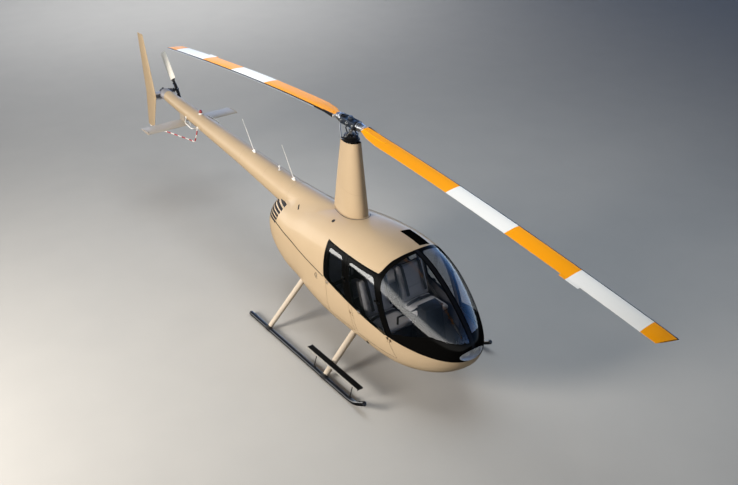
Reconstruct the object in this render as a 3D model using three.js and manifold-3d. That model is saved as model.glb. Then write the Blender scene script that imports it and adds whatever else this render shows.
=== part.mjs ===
// A light four-seat helicopter with a two-blade teetering rotor, parked on its skids.
// Millimetres. X points to port, Y points aft, so the nose faces -Y, and Z points up from the ground.
// Lengths along Y are given from the rotor mast, and the whole group is then moved by MAST_Y.
import * as THREE from "three";
import { mergeVertices } from "three/addons/utils/BufferGeometryUtils.js";
import Module from "manifold-3d";

const wasm = await Module();
wasm.setup();

// Driving dimensions
const MAST_Y = -690.35; // the mast lies ahead of the middle of the overall length
const GAP = 0.4; // between pieces that are fixed to each other
const DOOR_GAP = 6; // round each door
const WALL = 34; // doors, roof and fuselage sides
const GLASS = 6;
const ROTOR_RADIUS = 5030;
const ROTOR_CHORD = 254;
const HUB_Z = 3150;
const ROTOR_TURN = 1.6; // degrees; the front blade points a little to port
const ROTOR_TEETER = 2.75; // degrees; the front blade hangs the lower
const BLADE_DROOP = 433; // at the tip of a blade at rest
const TAIL_ROTOR = { x: 257, y: 5890, z: 1890, radius: 737, chord: 130, angle: 53.5 };
const FIN_X = -184;
const FIN_THICK = 38;
const STAB_Z = 1641;
const SKID_X = 1090;
const SKID_RADIUS = 32;
const LEG_RADIUS = 35;
const DOOR_OPEN = 70; // degrees
const FLOOR_TOP = 575;
const DOOR_TOP = 1640;
const DOOR_BOTTOM = 620;
const SILL_Z = DOOR_BOTTOM - 22; // where the tub ends below the doors
const WIDE = 900; // farther out than the pod on either side

// Solids
function solidOf(geometry) {
  const bare = geometry.index ? geometry.toNonIndexed() : geometry.clone();
  const merged = mergeVertices(
    new THREE.BufferGeometry().setAttribute("position", bare.getAttribute("position")),
    1e-3,
  );
  const made = new wasm.Manifold(
    new wasm.Mesh({
      numProp: 3,
      vertProperties: merged.attributes.position.array,
      triVerts: new Uint32Array(merged.index.array),
    }),
  );
  if (made.volume() < 0) throw new Error("a solid is inside out");
  return made;
}

function geometryOf(solid) {
  const mesh = solid.getMesh();
  const positions = new Float32Array(mesh.numVert * 3);
  for (let i = 0; i < mesh.numVert; i++)
    positions.set(mesh.vertProperties.subarray(i * mesh.numProp, i * mesh.numProp + 3), i * 3);
  const geometry = new THREE.BufferGeometry();
  geometry.setAttribute("position", new THREE.BufferAttribute(positions, 3));
  geometry.setIndex(new THREE.BufferAttribute(mesh.triVerts, 1));
  return geometry;
}

function union(...solids) {
  return solids.reduce((all, next) => all.add(next));
}

// The largest body of a solid, without the slivers that a cut can leave
function largest(solid) {
  return solid.decompose().reduce((best, next) => (next.volume() > best.volume() ? next : best));
}

// A closed skin through rings of points, all with the same count, wound the same way
function loft(rings) {
  const count = rings[0].length;
  const positions = rings.flat().flatMap((p) => [p.x, p.y, p.z]);
  const faces = [];
  for (let r = 0; r < rings.length - 1; r++)
    for (let i = 0; i < count; i++) {
      const a = r * count + i;
      const b = r * count + ((i + 1) % count);
      faces.push(a, b, b + count, a, b + count, a + count);
    }
  for (const [ring, last] of [[0, false], [rings.length - 1, true]]) {
    const centre = rings[ring].reduce((sum, p) => sum.add(p), new THREE.Vector3());
    centre.divideScalar(count);
    const hub = positions.length / 3;
    positions.push(centre.x, centre.y, centre.z);
    for (let i = 0; i < count; i++) {
      const a = ring * count + i;
      const b = ring * count + ((i + 1) % count);
      faces.push(...(last ? [a, b, hub] : [b, a, hub]));
    }
  }
  const geometry = new THREE.BufferGeometry();
  geometry.setAttribute("position", new THREE.Float32BufferAttribute(positions, 3));
  geometry.setIndex(faces);
  const signed = new wasm.Manifold(
    new wasm.Mesh({
      numProp: 3,
      vertProperties: new Float32Array(positions),
      triVerts: new Uint32Array(faces),
    }),
  );
  if (signed.volume() > 0) return signed;
  for (let i = 0; i < faces.length; i += 3)
    [faces[i + 1], faces[i + 2]] = [faces[i + 2], faces[i + 1]];
  geometry.setIndex(faces);
  return solidOf(geometry);
}

function box(x0, x1, y0, y1, z0, z1) {
  const geometry = new THREE.BoxGeometry(x1 - x0, y1 - y0, z1 - z0);
  return solidOf(geometry.translate((x0 + x1) / 2, (y0 + y1) / 2, (z0 + z1) / 2));
}

// A side-view outline of [y, z] points, extruded across from x0 to x1
function sideCut(outline, x0, x1) {
  const ring = (x) => outline.map(([y, z]) => new THREE.Vector3(x, y, z));
  return prism(ring(x0), ring(x1));
}

function prism(ringA, ringB) {
  const flat = new THREE.Shape(ringA.map((p) => new THREE.Vector2(p.y, p.z)));
  const depth = ringB[0].x - ringA[0].x;
  const geometry = new THREE.ExtrudeGeometry(flat, { depth, bevelEnabled: false });
  const place = new THREE.Matrix4().set(0, 0, 1, ringA[0].x, 1, 0, 0, 0, 0, 1, 0, 0, 0, 0, 0, 1);
  return solidOf(geometry.applyMatrix4(place));
}

// A round bar between two points, with its own radius at each end
function bar(from, to, radiusA, radiusB = radiusA, sides = 16, squash = 1) {
  const a = new THREE.Vector3(...from);
  const b = new THREE.Vector3(...to);
  const geometry = new THREE.CylinderGeometry(radiusB, radiusA, a.distanceTo(b), sides);
  geometry.scale(squash, 1, 1);
  const axis = b.clone().sub(a).normalize();
  const turn = new THREE.Quaternion().setFromUnitVectors(new THREE.Vector3(0, 1, 0), axis);
  geometry.applyQuaternion(turn);
  const middle = a.add(b).divideScalar(2);
  return solidOf(geometry.translate(middle.x, middle.y, middle.z));
}

// Rounds the inner corners of a path. Each corner is cut back by the given length.
function rounded(points, cut, steps = 4) {
  const path = points.map((p) => new THREE.Vector3(...p));
  const out = [path[0]];
  for (let i = 1; i < path.length - 1; i++) {
    const [before, corner, after] = path.slice(i - 1, i + 2);
    const reach = Math.min(cut, corner.distanceTo(before) * 0.49, corner.distanceTo(after) * 0.49);
    const start = corner.clone().add(before.clone().sub(corner).setLength(reach));
    const end = corner.clone().add(after.clone().sub(corner).setLength(reach));
    out.push(...new THREE.QuadraticBezierCurve3(start, corner, end).getPoints(steps));
  }
  out.push(path.at(-1));
  return out;
}

// A round tube along a path, its rings square to the path
function tube(path, radius, sides = 12) {
  let across = null;
  const rings = path.map((p, i) => {
    const ahead = path[Math.min(i + 1, path.length - 1)];
    const back = path[Math.max(i - 1, 0)];
    const along = ahead.clone().sub(back).normalize();
    if (!across)
      across = new THREE.Vector3(along.y, along.z, along.x).cross(along).normalize();
    across = across.clone().addScaledVector(along, -across.dot(along)).normalize();
    const up = along.clone().cross(across);
    return circle(sides, (c, s) =>
      p.clone().addScaledVector(across, c * radius).addScaledVector(up, s * radius).toArray(),
    );
  });
  return loft(rings);
}

function circle(sides, at) {
  return Array.from({ length: sides }, (_, i) => {
    const turn = (i / sides) * Math.PI * 2;
    return new THREE.Vector3(...at(Math.cos(turn), Math.sin(turn)));
  });
}

// The fuselage pod. Each row: y, bottom, top, half width, height of the widest point,
// and how square the section is above and below that point.
const POD = [
  [-2505, 850, 965, 50, 905, 2.0, 2.0],
  [-2480, 760, 1060, 160, 905, 2.0, 2.0],
  [-2410, 670, 1165, 265, 910, 2.0, 2.1],
  [-2290, 570, 1300, 365, 915, 2.1, 2.3],
  [-2100, 470, 1480, 465, 930, 2.2, 2.6],
  [-1850, 400, 1665, 550, 955, 2.35, 3.0],
  [-1600, 372, 1800, 605, 985, 2.45, 3.4],
  [-1300, 365, 1880, 636, 1015, 2.6, 3.6],
  [-1000, 365, 1908, 645, 1040, 2.65, 3.6],
  [-650, 365, 1905, 645, 1050, 2.65, 3.6],
  [-300, 365, 1875, 640, 1060, 2.6, 3.6],
  [50, 370, 1825, 622, 1070, 2.5, 3.4],
  [400, 385, 1765, 597, 1080, 2.4, 3.0],
  [750, 425, 1700, 558, 1090, 2.3, 2.6],
  [1080, 470, 1640, 524, 1095, 2.4, 2.6],
  [1370, 580, 1600, 474, 1105, 2.3, 2.5],
  [1570, 710, 1545, 410, 1110, 2.2, 2.4],
  [1705, 850, 1450, 318, 1115, 2.1, 2.2],
  [1785, 975, 1305, 190, 1120, 2.0, 2.0],
  [1808, 1060, 1200, 80, 1125, 2.0, 2.0],
];
const POD_SIDES = 36;

// One ring of the pod, drawn in from its skin by inset
function podRing([y, bottom, top, half, waist, upper, lower], inset) {
  const ring = [];
  for (let i = 0; i < POD_SIDES; i++) {
    const turn = (i / POD_SIDES) * Math.PI * 2;
    const [c, s] = [Math.cos(turn), Math.sin(turn)];
    const power = 2 / (s >= 0 ? upper : lower);
    const reach = Math.max(s >= 0 ? top - waist : waist - bottom, 1) - inset;
    ring.push(
      new THREE.Vector3(
        Math.sign(c) * Math.abs(c) ** power * (half - inset),
        y,
        waist + Math.sign(s) * Math.abs(s) ** power * reach,
      ),
    );
  }
  return ring;
}

// The pod's outline drawn in by inset. The end rings are pulled in along Y as well.
function pod(inset) {
  const rows = POD.filter((row) => row[3] > inset * 1.6 + 20);
  const middle = (rows[0][0] + rows.at(-1)[0]) / 2;
  return loft(
    rows.map((row, i) => {
      const pull = i === 0 ? inset * 0.6 : i === rows.length - 1 ? -inset * 0.6 : 0;
      const moved = [row[0] + (row[0] < middle ? Math.max(pull, 0) : Math.min(pull, 0))];
      return podRing([...moved, ...row.slice(1)], inset);
    }),
  );
}

const podSkin = pod(0);
const podInside = pod(WALL);
const podShell = podSkin.subtract(podInside);
const glassShell = pod(1.5).subtract(pod(1.5 + GLASS));

// Lines that part the pod, as y at a height
const line = (y0, z0, y1, z1) => (z) => y0 + ((y1 - y0) * (z - z0)) / (z1 - z0);
const frontPost = line(-1215, 1640, -1560, 930); // leading edge of the front door
const middlePost = line(-620, 1640, -800, 1040); // trailing edge of the front door
const rearPost = line(-190, 1640, -235, 1140); // trailing edge of the rear door
const POST_WIDTH = 56;
const SCREEN_POST = 60; // between the front door and the windscreen
const WINDOW_BORDER = 52;

// Outline of a door between two post lines, shrunk on all sides
function doorOutline(front, rear, shrink, bottom = DOOR_BOTTOM) {
  const [low, high] = [bottom + shrink, DOOR_TOP - shrink];
  return [
    [front(low) + shrink, low],
    [rear(low) - shrink, low],
    [rear(high) - shrink, high],
    [front(high) + shrink, high],
  ];
}

// The window sill falls towards the nose
const sill = (y) => 1185 + y * 0.188;
function windowOutline(front, rear, shrink) {
  const high = DOOR_TOP - WINDOW_BORDER - shrink;
  const lowRear = sill(rear(1130)) + shrink;
  const lowFront = sill(front(1000)) + shrink;
  return [
    [front(lowFront) + WINDOW_BORDER + shrink, lowFront],
    [rear(lowRear) - WINDOW_BORDER - shrink, lowRear],
    [rear(high) - WINDOW_BORDER - shrink, high],
    [front(high) + WINDOW_BORDER + shrink, high],
  ];
}

const midFront = (z) => middlePost(z) - POST_WIDTH / 2;
const midRear = (z) => middlePost(z) + POST_WIDTH / 2;
const screenAft = (z) => frontPost(z) - SCREEN_POST;

// Windscreen area in side view, from the roof's front edge down to the nose
const SCREEN_TOP = [
  [screenAft(1655), 1655],
  [-1292, 1715],
  [-1318, 1800],
  [-1366, 1872],
  [-1440, 1960],
];
const SCREEN_LOW_AFT = 905;
const SCREEN_LOW_NOSE = 865;
function screenOutline(shrink) {
  return [
    [-2700, 1960 - shrink],
    [-2700, SCREEN_LOW_NOSE + shrink],
    [-2400, SCREEN_LOW_NOSE + shrink],
    [screenAft(SCREEN_LOW_AFT) - shrink, SCREEN_LOW_AFT + shrink],
    ...SCREEN_TOP.map(([y, z], i) => [y - shrink, i === SCREEN_TOP.length - 1 ? z - shrink : z]),
  ];
}
const BOW_HALF = 24;

const parts = new THREE.Group();
const FINISHES = {
  paint: ["#e6cfae", 0.35, 0.1],
  black: ["#101112", 0.4, 0.2],
  glass: ["#2a3238", 0.05, 0.0],
  steel: ["#8d9196", 0.35, 0.9],
  white: ["#eceae4", 0.4, 0.1],
  blade: ["#f2a312", 0.4, 0.1],
  leather: ["#3a3c40", 0.6, 0.0],
  red: ["#b3262a", 0.4, 0.0],
};
function add(name, solid, finish) {
  const [color, roughness, metalness] = FINISHES[finish];
  const material = new THREE.MeshStandardMaterial({ color, roughness, metalness });
  const mesh = new THREE.Mesh(geometryOf(solid), material);
  mesh.name = name;
  parts.add(mesh);
  return solid;
}

const CONE_END = 5690;
// The tail cone, a tapered tube whose top line rises to the tail. Each row: y, top, radius.
const TAILCONE = [
  [330, 1788, 300],
  [900, 1776, 262],
  [1500, 1765, 228],
  [3000, 1836, 172],
  [5000, 1934, 122],
  [CONE_END, 1968, 102],
];
const CONE_JOINT = 1350; // the cowl's fairing ends here and the tail cone begins
const CONE_SIDES = 28;
const CONE_WALL = 4;
function cone(inset, extend = 0) {
  return loft(
    TAILCONE.map(([y, top, radius], i) => {
      const shift = i === 0 ? -extend : i === TAILCONE.length - 1 ? extend : 0;
      const r = radius - inset;
      return circle(CONE_SIDES, (c, s) => [r * c, y + shift, top - radius + r * s]);
    }),
  );
}

const coneHull = cone(-GAP, 10);

// Everything behind a slanted line, and everything below the sill and the windscreen
const behind = (edge, shift) =>
  sideCut(
    [
      [edge(300) + shift, 300],
      [2400, 300],
      [2400, 2100],
      [edge(2100) + shift, 2100],
    ],
    -WIDE,
    WIDE,
  );
const COWL_SHIFT = 60;
const tubSpace = (grow) =>
  sideCut(
    [
      [-2700, 300],
      [2000, 300],
      [2000, SILL_Z + grow],
      [screenAft(SILL_Z) + 30 + grow, SILL_Z + grow],
      [screenAft(SCREEN_LOW_AFT) + 2 + grow, SCREEN_LOW_AFT + 40],
      [-2700, SCREEN_LOW_AFT + 40],
    ],
    -WIDE,
    WIDE,
  );

const sideRange = (side) => (side < 0 ? [-WIDE, -60] : [60, WIDE]);
const DOORS = [
  { name: "front_door", front: frontPost, rear: midFront, hingeX: 626 },
  { name: "rear_door", front: midRear, rear: rearPost, hingeX: 650 },
];
const SIDES = [
  { suffix: "port", side: 1 },
  { suffix: "starboard", side: -1 },
];
const doorHoles = SIDES.flatMap(({ side }) =>
  DOORS.map(({ front, rear }) => sideCut(doorOutline(front, rear, 0), ...sideRange(side))),
);
const screenHole = sideCut(screenOutline(0), -WIDE, WIDE);

// The slanted hinge line just outside a door's front edge: a frame with Z up the line,
// Y aft across it, and its origin on the line at a given height
function hingeFrame({ front, hingeX }, side, height) {
  const low = new THREE.Vector3(side * hingeX, front(DOOR_BOTTOM), DOOR_BOTTOM);
  const high = new THREE.Vector3(side * hingeX, front(DOOR_TOP), DOOR_TOP);
  const up = high.clone().sub(low).normalize();
  const across = new THREE.Vector3(1, 0, 0);
  const aft = up.clone().cross(across);
  const share = (height - DOOR_BOTTOM) / (DOOR_TOP - DOOR_BOTTOM);
  return new THREE.Matrix4()
    .makeBasis(across, aft, up)
    .setPosition(low.clone().lerp(high, share));
}

// Swings a solid outwards about that line
function swing(solid, door, side, degrees) {
  const frame = hingeFrame(door, side, DOOR_BOTTOM);
  const turn = new THREE.Matrix4().makeRotationZ(THREE.MathUtils.degToRad(-side * degrees));
  return solid.transform(frame.clone().multiply(turn).multiply(frame.clone().invert()).elements);
}

// Hinge knuckles: the lower one belongs to the post, the upper one to the door
const HINGE_HEIGHTS = [880, 1330];
const KNUCKLE = { radius: 9, length: 32, inboard: 34, leaf: 46, room: 14, start: 5 };
const atHinges = (solid, door, side) =>
  union(
    ...HINGE_HEIGHTS.map((height) => solid.transform(hingeFrame(door, side, height).elements)),
  );
function knuckles(door, side, ofDoor) {
  const { radius, length, inboard, leaf, start } = KNUCKLE;
  const [low, high] = ofDoor ? [GAP / 2, length] : [-length, -GAP / 2];
  const [inner, outer] = [-side * inboard, side * 2].sort((a, b) => a - b);
  const [fore, aft] = ofDoor ? [start, leaf] : [-leaf, -start];
  const barrel = bar([0, 0, low], [0, 0, high], radius, radius, 10);
  return atHinges(barrel.add(box(inner, outer, fore, aft, low + 1, high - 1)), door, side);
}

// Room for the other half's knuckles
function knuckleRoom(door, side, ofDoor) {
  const { room, length } = KNUCKLE;
  const [low, high] = ofDoor ? [GAP / 2, length + 6] : [-length - 6, -GAP / 2];
  return atHinges(bar([0, 0, low], [0, 0, high], room, room, 10), door, side);
}

// Room that a door needs as it swings: all of its edges at first, then its lower front corner
const roomyShell = pod(-9).subtract(pod(WALL + 9));
const EDGE_STEPS = [1.5, 3, 5, 8];
const CORNER_STEPS = [11, 14, 18, 22, 27, 33, 40, 50, 60, DOOR_OPEN];
const CORNER_REACH = 330;
function swingRoom(door, side) {
  const { front, rear } = door;
  const edging = (shrink) =>
    roomyShell.intersect(
      sideCut(doorOutline(front, rear, shrink), ...sideRange(side)).subtract(
        sideCut(doorOutline(front, rear, 40), ...sideRange(side)),
      ),
    );
  const edges = edging(0);
  const corner = edging(-3).subtract(behind(front, CORNER_REACH));
  return union(
    ...EDGE_STEPS.map((degrees) => swing(edges, door, side, degrees)),
    ...CORNER_STEPS.map((degrees) => swing(corner, door, side, degrees)),
  );
}
const doorRoom = union(...SIDES.flatMap(({ side }) => DOORS.map((door) => swingRoom(door, side))));

const opened = podShell.subtract(union(...doorHoles, screenHole)).subtract(doorRoom);
const cabinShell = opened.subtract(behind(rearPost, COWL_SHIFT));
const slab = (z0, z1) =>
  podInside.intersect(box(-WIDE, WIDE, -2250, rearPost(SILL_Z) + 30, z0, z1));
add(
  "cabin_tub",
  cabinShell.intersect(tubSpace(0)).add(slab(430, FLOOR_TOP).subtract(doorRoom)),
  "paint",
);
const allDoors = SIDES.flatMap(({ side }) => DOORS.map((door) => ({ door, side })));
const postKnuckles = union(...allDoors.map(({ door, side }) => knuckles(door, side, false)));
const doorKnuckles = union(...allDoors.map(({ door, side }) => knuckleRoom(door, side, true)));
add(
  "cabin_roof",
  largest(
    cabinShell
      .subtract(tubSpace(GAP))
      .subtract(box(-WIDE, WIDE, -2700, 0, 300, SILL_Z + GAP))
      .subtract(doorKnuckles)
      .add(postKnuckles),
  ),
  "paint",
);

// Windscreen in two halves, parted by a bow from the roof to the nose
const screenGlass = glassShell.intersect(sideCut(screenOutline(GAP), -WIDE, WIDE));
for (const { suffix, side } of SIDES) {
  const [inner, outer] = side < 0 ? [-WIDE, -BOW_HALF] : [BOW_HALF, WIDE];
  const half = box(inner, outer, -2700, 0, 0, 2100);
  add(`windscreen_${suffix}`, screenGlass.intersect(half), "glass");
}
const bowShell = podSkin.subtract(pod(20)).intersect(sideCut(screenOutline(GAP), -WIDE, WIDE));
add(
  "windscreen_bow",
  bowShell.intersect(box(GAP - BOW_HALF, BOW_HALF - GAP, -2700, 0, 0, 2100)),
  "black",
);

// Doors, each a piece of the pod's wall with its window let in
for (const { suffix, side } of SIDES)
  for (const door of DOORS) {
    const { name, front, rear } = door;
    const skin = podShell
      .intersect(sideCut(doorOutline(front, rear, DOOR_GAP), ...sideRange(side)))
      .subtract(knuckleRoom(door, side, false))
      .add(knuckles(door, side, true));
    const hole = sideCut(windowOutline(front, rear, 0), ...sideRange(side));
    const pane = sideCut(windowOutline(front, rear, GAP), ...sideRange(side));
    add(`${name}_${suffix}`, skin.subtract(hole), "paint");
    add(`${name}_pane_${suffix}`, glassShell.intersect(pane), "glass");
  }

// Engine cowl with the fairing that runs into the tail cone, louvres, and an opening below.
// The louvres' front ends lie on a slanted line; each row: z of a slot's middle, y of its front end.
const LOUVRES = [
  [1533, 1225],
  [1481, 1232],
  [1431, 1250],
  [1381, 1268],
  [1331, 1284],
  [1283, 1298],
];
const LOUVRE_HEIGHT = 27;
const cowlOuter = podSkin.add(cone(0).subtract(box(-WIDE, WIDE, CONE_JOINT, 6000, 0, 2400)));
const cowlInner = podInside.add(cone(WALL, 4));
const louvres = union(
  ...LOUVRES.map(([z, y]) =>
    box(-WIDE, WIDE, y, 1860, z - LOUVRE_HEIGHT / 2, z + LOUVRE_HEIGHT / 2).subtract(
      box(-170, 170, 1000, 2000, 1000, 1600),
    ),
  ),
);
const tailSpace = coneHull.subtract(box(-WIDE, WIDE, 0, CONE_JOINT, 0, 2400));
const bellyOpening = box(-230, 230, 420, 980, 300, 640);
add(
  "engine_cowl",
  cowlOuter
    .subtract(cowlInner)
    .intersect(behind(rearPost, COWL_SHIFT + GAP))
    .subtract(union(bellyOpening, louvres, tailSpace)),
  "paint",
);
// The bulkhead closes the cabin off from the engine, one plain block
const bulkhead = pod(WALL + GAP).intersect(box(-WIDE, WIDE, 0, 22, 300, 2000));
add("rear_bulkhead", bulkhead.subtract(cone(-GAP, 30)), "black");
add(
  "engine_block",
  pod(WALL + GAP).intersect(box(-330, 330, 80, 780, 300, 980)),
  "steel",
);

// Tail cone, gearbox, fins and guard
add(
  "tailcone",
  cone(0)
    .subtract(cone(CONE_WALL, 1))
    .subtract(box(-WIDE, WIDE, 0, CONE_JOINT + GAP, 0, 2400)),
  "paint",
);
const GEARBOX_END = 5985;
const CAP_END = 5850; // the casting carries on from the cone up to here
const TAIL_SHAFT = 100; // from the tail rotor's middle to the gearbox arm
const gearbox = (grow) =>
  union(
    bar([0, CONE_END - 20, 1865], [0, CAP_END + grow, 1878], 102 + grow, 98 + grow, 28).subtract(
      box(-WIDE, WIDE, 5600, CONE_END + GAP, 0, 2400),
    ),
    bar([0, CAP_END - 10, 1878], [0, GEARBOX_END + grow, 1886], 72 + grow, 66 + grow, 24),
  );
const armEnd = TAIL_ROTOR.x - TAIL_SHAFT - GAP;
const outputArm = bar(
  [0, TAIL_ROTOR.y, TAIL_ROTOR.z],
  [armEnd, TAIL_ROTOR.y, TAIL_ROTOR.z],
  52,
  44,
);
add("tail_gearbox", gearbox(0).add(outputArm), "black");

// An aerofoil ring: nose at 0, tail at chord, half thickness from a four-point fairing
const FOIL = [
  [0, 0],
  [0.04, 0.32],
  [0.15, 0.47],
  [0.35, 0.5],
  [0.65, 0.34],
  [1, 0.06],
];
function foil(at, chord, thick) {
  const upper = FOIL.map(([u, v]) => at(u * chord, v * thick));
  const lower = FOIL.slice(1).map(([u, v]) => at(u * chord, -v * thick));
  return [...upper, ...lower.reverse()];
}

// Fin rows: z, leading edge y, chord, thickness
const FIN = [
  [1185, 6096, 253, 26],
  [1480, 5987, 323, 34],
  [1838, 5848, 412, FIN_THICK],
  [2400, 5980, 312, 34],
  [2935, 6105, 217, 24],
];
const finRings = (grow) =>
  FIN.map(([z, y, chord, thick], i) =>
    foil(
      (u, v) => new THREE.Vector3(FIN_X + v, y - grow + u, i === 0 ? z - grow : z),
      chord + 2 * grow,
      thick + 2 * grow,
    ),
  );
const finHull = loft(finRings(GAP));
add("vertical_fin", loft(finRings(0)), "paint");
// A channel, open to the front, from the gearbox to the fin
const bracketArm = box(FIN_X + 4, -50, 5820, 5935, 1795, 1912).subtract(
  box(FIN_X, 0, 5800, 5917, 1811, 1896),
);
add(
  "fin_bracket",
  bracketArm.subtract(gearbox(GAP)).subtract(finHull),
  "paint",
);

const STAB_CHORD = 345;
const STAB_ROOT = 110; // the two halves end here at a rib that rises to the cone
const STAB_SPAN = 853;
const STAB_FRONT = 4731;
const stabRing = (x) =>
  foil((u, v) => new THREE.Vector3(x, STAB_FRONT + u, STAB_Z + v), STAB_CHORD, 34);
const stabHalf = (side) =>
  loft([side * STAB_ROOT, side * STAB_SPAN].sort((a, b) => a - b).map(stabRing));
const stabRib = (side) =>
  box(...[side * STAB_ROOT, side * (STAB_ROOT + 10)].sort((a, b) => a - b), 4862, 5046, STAB_Z - 12, 1772);
const stabSpar = bar([-STAB_ROOT - 5, 4955, STAB_Z], [STAB_ROOT + 5, 4955, STAB_Z], 14);
add(
  "horizontal_stabiliser",
  union(stabHalf(-1), stabHalf(1), stabRib(-1), stabRib(1), stabSpar).subtract(coneHull),
  "paint",
);
// A rail antenna stands off each side of the cone ahead of the stabiliser
for (const { suffix, side } of SIDES) {
  const rail = tube(
    rounded(
      [
        [side * 110, 4334, 1716],
        [side * 265, 4289, 1743],
        [side * 242, 4590, 1758],
        [side * 105, 4790, 1770],
      ],
      50,
      3,
    ),
    9,
    8,
  );
  add(`rail_antenna_${suffix}`, rail.subtract(coneHull), "white");
}

const guard = tube(
  rounded(
    [
      [0, 4630, 1700],
      [0, 4656, 1500],
      [0, 4805, 1262],
      [0, 4960, 1250],
      [FIN_X, 6190, 1161],
      [FIN_X, 6260, 1156],
      [FIN_X, 6266, 1185 - 1],
    ],
    110,
  ),
  11,
  8,
);
add("tail_guard", guard.subtract(coneHull).subtract(finHull), "white");

// Mast fairing: an aerofoil-plan sheath that is open at the top
const FAIRING_LOW = { z: 1560, nose: -345, chord: 800, thick: 300 };
const FAIRING_TOP = { z: 2870, nose: -190, chord: 445, thick: 190 };
const FAIRING_WALL = 8;
const FAIRING_SLOPE = 0.17; // the open top falls towards the tail
function fairing(inset, extend = 0) {
  const rings = [FAIRING_LOW, FAIRING_TOP].map(({ z, nose, chord, thick }, i) =>
    foil(
      (u, v) => {
        const slope = i ? u * FAIRING_SLOPE - 38 : 0;
        return new THREE.Vector3(v, nose + inset + u, z + (i ? extend : -extend) - slope);
      },
      chord - 2.6 * inset,
      thick - 2 * inset,
    ),
  );
  return loft(rings);
}
const roofHull = pod(-GAP).add(cone(-GAP, 10));
add("mast_fairing", fairing(0).subtract(fairing(FAIRING_WALL, 20)).subtract(roofHull), "paint");

// Main rotor: a fixed tube round the mast, then the pieces that turn
const MAST_RADIUS = 26;
const SHAFT_FOOT = 2560; // the shaft turns on its seat here, inside the tube
add(
  "mast_tube",
  bar([0, 0, 1700], [0, 0, 2905], 46)
    .add(bar([0, 0, 2905], [0, 0, 2935], 85))
    .subtract(bar([0, 0, SHAFT_FOOT - GAP], [0, 0, 3000], MAST_RADIUS + 6))
    .subtract(roofHull),
  "black",
);
const SWASH_Z = 2960;
add("mast_shaft", bar([0, 0, SHAFT_FOOT], [0, 0, 3060], MAST_RADIUS), "steel");
const swash = bar([0, 0, SWASH_Z - 14], [0, 0, SWASH_Z + 14], 96, 96, 24)
  .subtract(bar([0, 0, 2900], [0, 0, 3000], MAST_RADIUS + GAP));
const links = union(
  ...[-1, 1].map((end) => bar([end * 84, 0, SWASH_Z], [end * 98, end * 150, HUB_Z - 20], 9, 9, 8)),
);
const teeter = new THREE.Matrix4()
  .makeRotationZ(THREE.MathUtils.degToRad(ROTOR_TURN))
  .multiply(new THREE.Matrix4().makeTranslation(0, 0, HUB_Z))
  .multiply(new THREE.Matrix4().makeRotationX(THREE.MathUtils.degToRad(ROTOR_TEETER)));
const inRotor = (solid) => solid.transform(teeter.elements);
const HUB_HALF = 120;
const GRIP_END = 280;
const hub = union(
  box(-52, 52, -HUB_HALF, HUB_HALF, -38, 38),
  bar([-88, 0, 0], [88, 0, 0], 26),
  bar([0, -GRIP_END, 0], [0, -HUB_HALF + 10, 0], 46, 50),
  bar([0, HUB_HALF - 10, 0], [0, GRIP_END, 0], 50, 46),
);
const turnRotor = new THREE.Matrix4().makeRotationZ(THREE.MathUtils.degToRad(ROTOR_TURN));
const mastCap = bar([0, 0, 3060 + GAP], [0, 0, HUB_Z + 85], 34, 30);
add("rotor_hub", inRotor(hub).add(mastCap), "steel");
add(
  "swashplate",
  swash
    .add(links.transform(turnRotor.elements))
    .subtract(inRotor(hub.add(bar([0, -GRIP_END, 0], [0, GRIP_END, 0], 51)))),
  "black",
);

// Blade rows: radius, leading edge, chord, thickness. The leading edge of each blade leads.
const BLADE = [
  [GRIP_END + GAP, 84, 146, 38],
  [487, 78, 217, 33],
  [720, 78, ROTOR_CHORD, 31],
  [1800, 78, ROTOR_CHORD, 30],
  [2900, 78, ROTOR_CHORD, 30],
  [4000, 78, ROTOR_CHORD, 30],
  [4880, 78, ROTOR_CHORD, 30],
  [ROTOR_RADIUS, 78, ROTOR_CHORD, 16],
];
const TIP_CUT = 0.35; // the tip is cut back towards the trailing edge
const droop = (r) => BLADE_DROOP * ((r - GRIP_END) / (ROTOR_RADIUS - GRIP_END)) ** 1.45;
for (const [name, end] of [["main_blade_a", -1], ["main_blade_b", 1]]) {
  const rings = BLADE.map(([r, lead, chord, thick], i) =>
    foil(
      (u, v) => {
        const reach = i === BLADE.length - 1 ? r - u * TIP_CUT : r;
        return new THREE.Vector3(-end * (lead - u), end * reach, v - droop(reach));
      },
      chord,
      thick,
    ),
  );
  add(name, inRotor(loft(rings)), "blade");
}

// Tail rotor, on the port side
const inTail = (() => {
  const matrix = new THREE.Matrix4()
    .makeTranslation(TAIL_ROTOR.x, TAIL_ROTOR.y, TAIL_ROTOR.z)
    .multiply(new THREE.Matrix4().makeRotationX(THREE.MathUtils.degToRad(TAIL_ROTOR.angle)));
  return (solid) => solid.transform(matrix.elements);
})();
const TAIL_GRIP = 150;
const TAIL_PITCH = THREE.MathUtils.degToRad(-22); // of the blades about their own length
add(
  "tail_rotor_hub",
  inTail(
    union(
      bar([-TAIL_SHAFT, 0, 0], [28, 0, 0], 18),
      box(-22, 22, -70, 70, -34, 34),
      bar([0, -TAIL_GRIP, 0], [0, TAIL_GRIP, 0], 27),
    ),
  ),
  "black",
);
for (const [name, end] of [["tail_blade_a", 1], ["tail_blade_b", -1]]) {
  const rings = [
    [TAIL_GRIP + GAP, 58, 24],
    [215, TAIL_ROTOR.chord, 18],
    [TAIL_ROTOR.radius - 60, TAIL_ROTOR.chord, 14],
    [TAIL_ROTOR.radius, TAIL_ROTOR.chord - 26, 9],
  ].map(([r, chord, thick]) =>
    foil(
      (u, v) => {
        const across = new THREE.Vector2(v, u - chord / 2).rotateAround(new THREE.Vector2(), TAIL_PITCH);
        return new THREE.Vector3(across.x, end * r, end * across.y);
      },
      chord,
      thick,
    ),
  );
  add(name, inTail(loft(rings)), "white");
}

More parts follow.
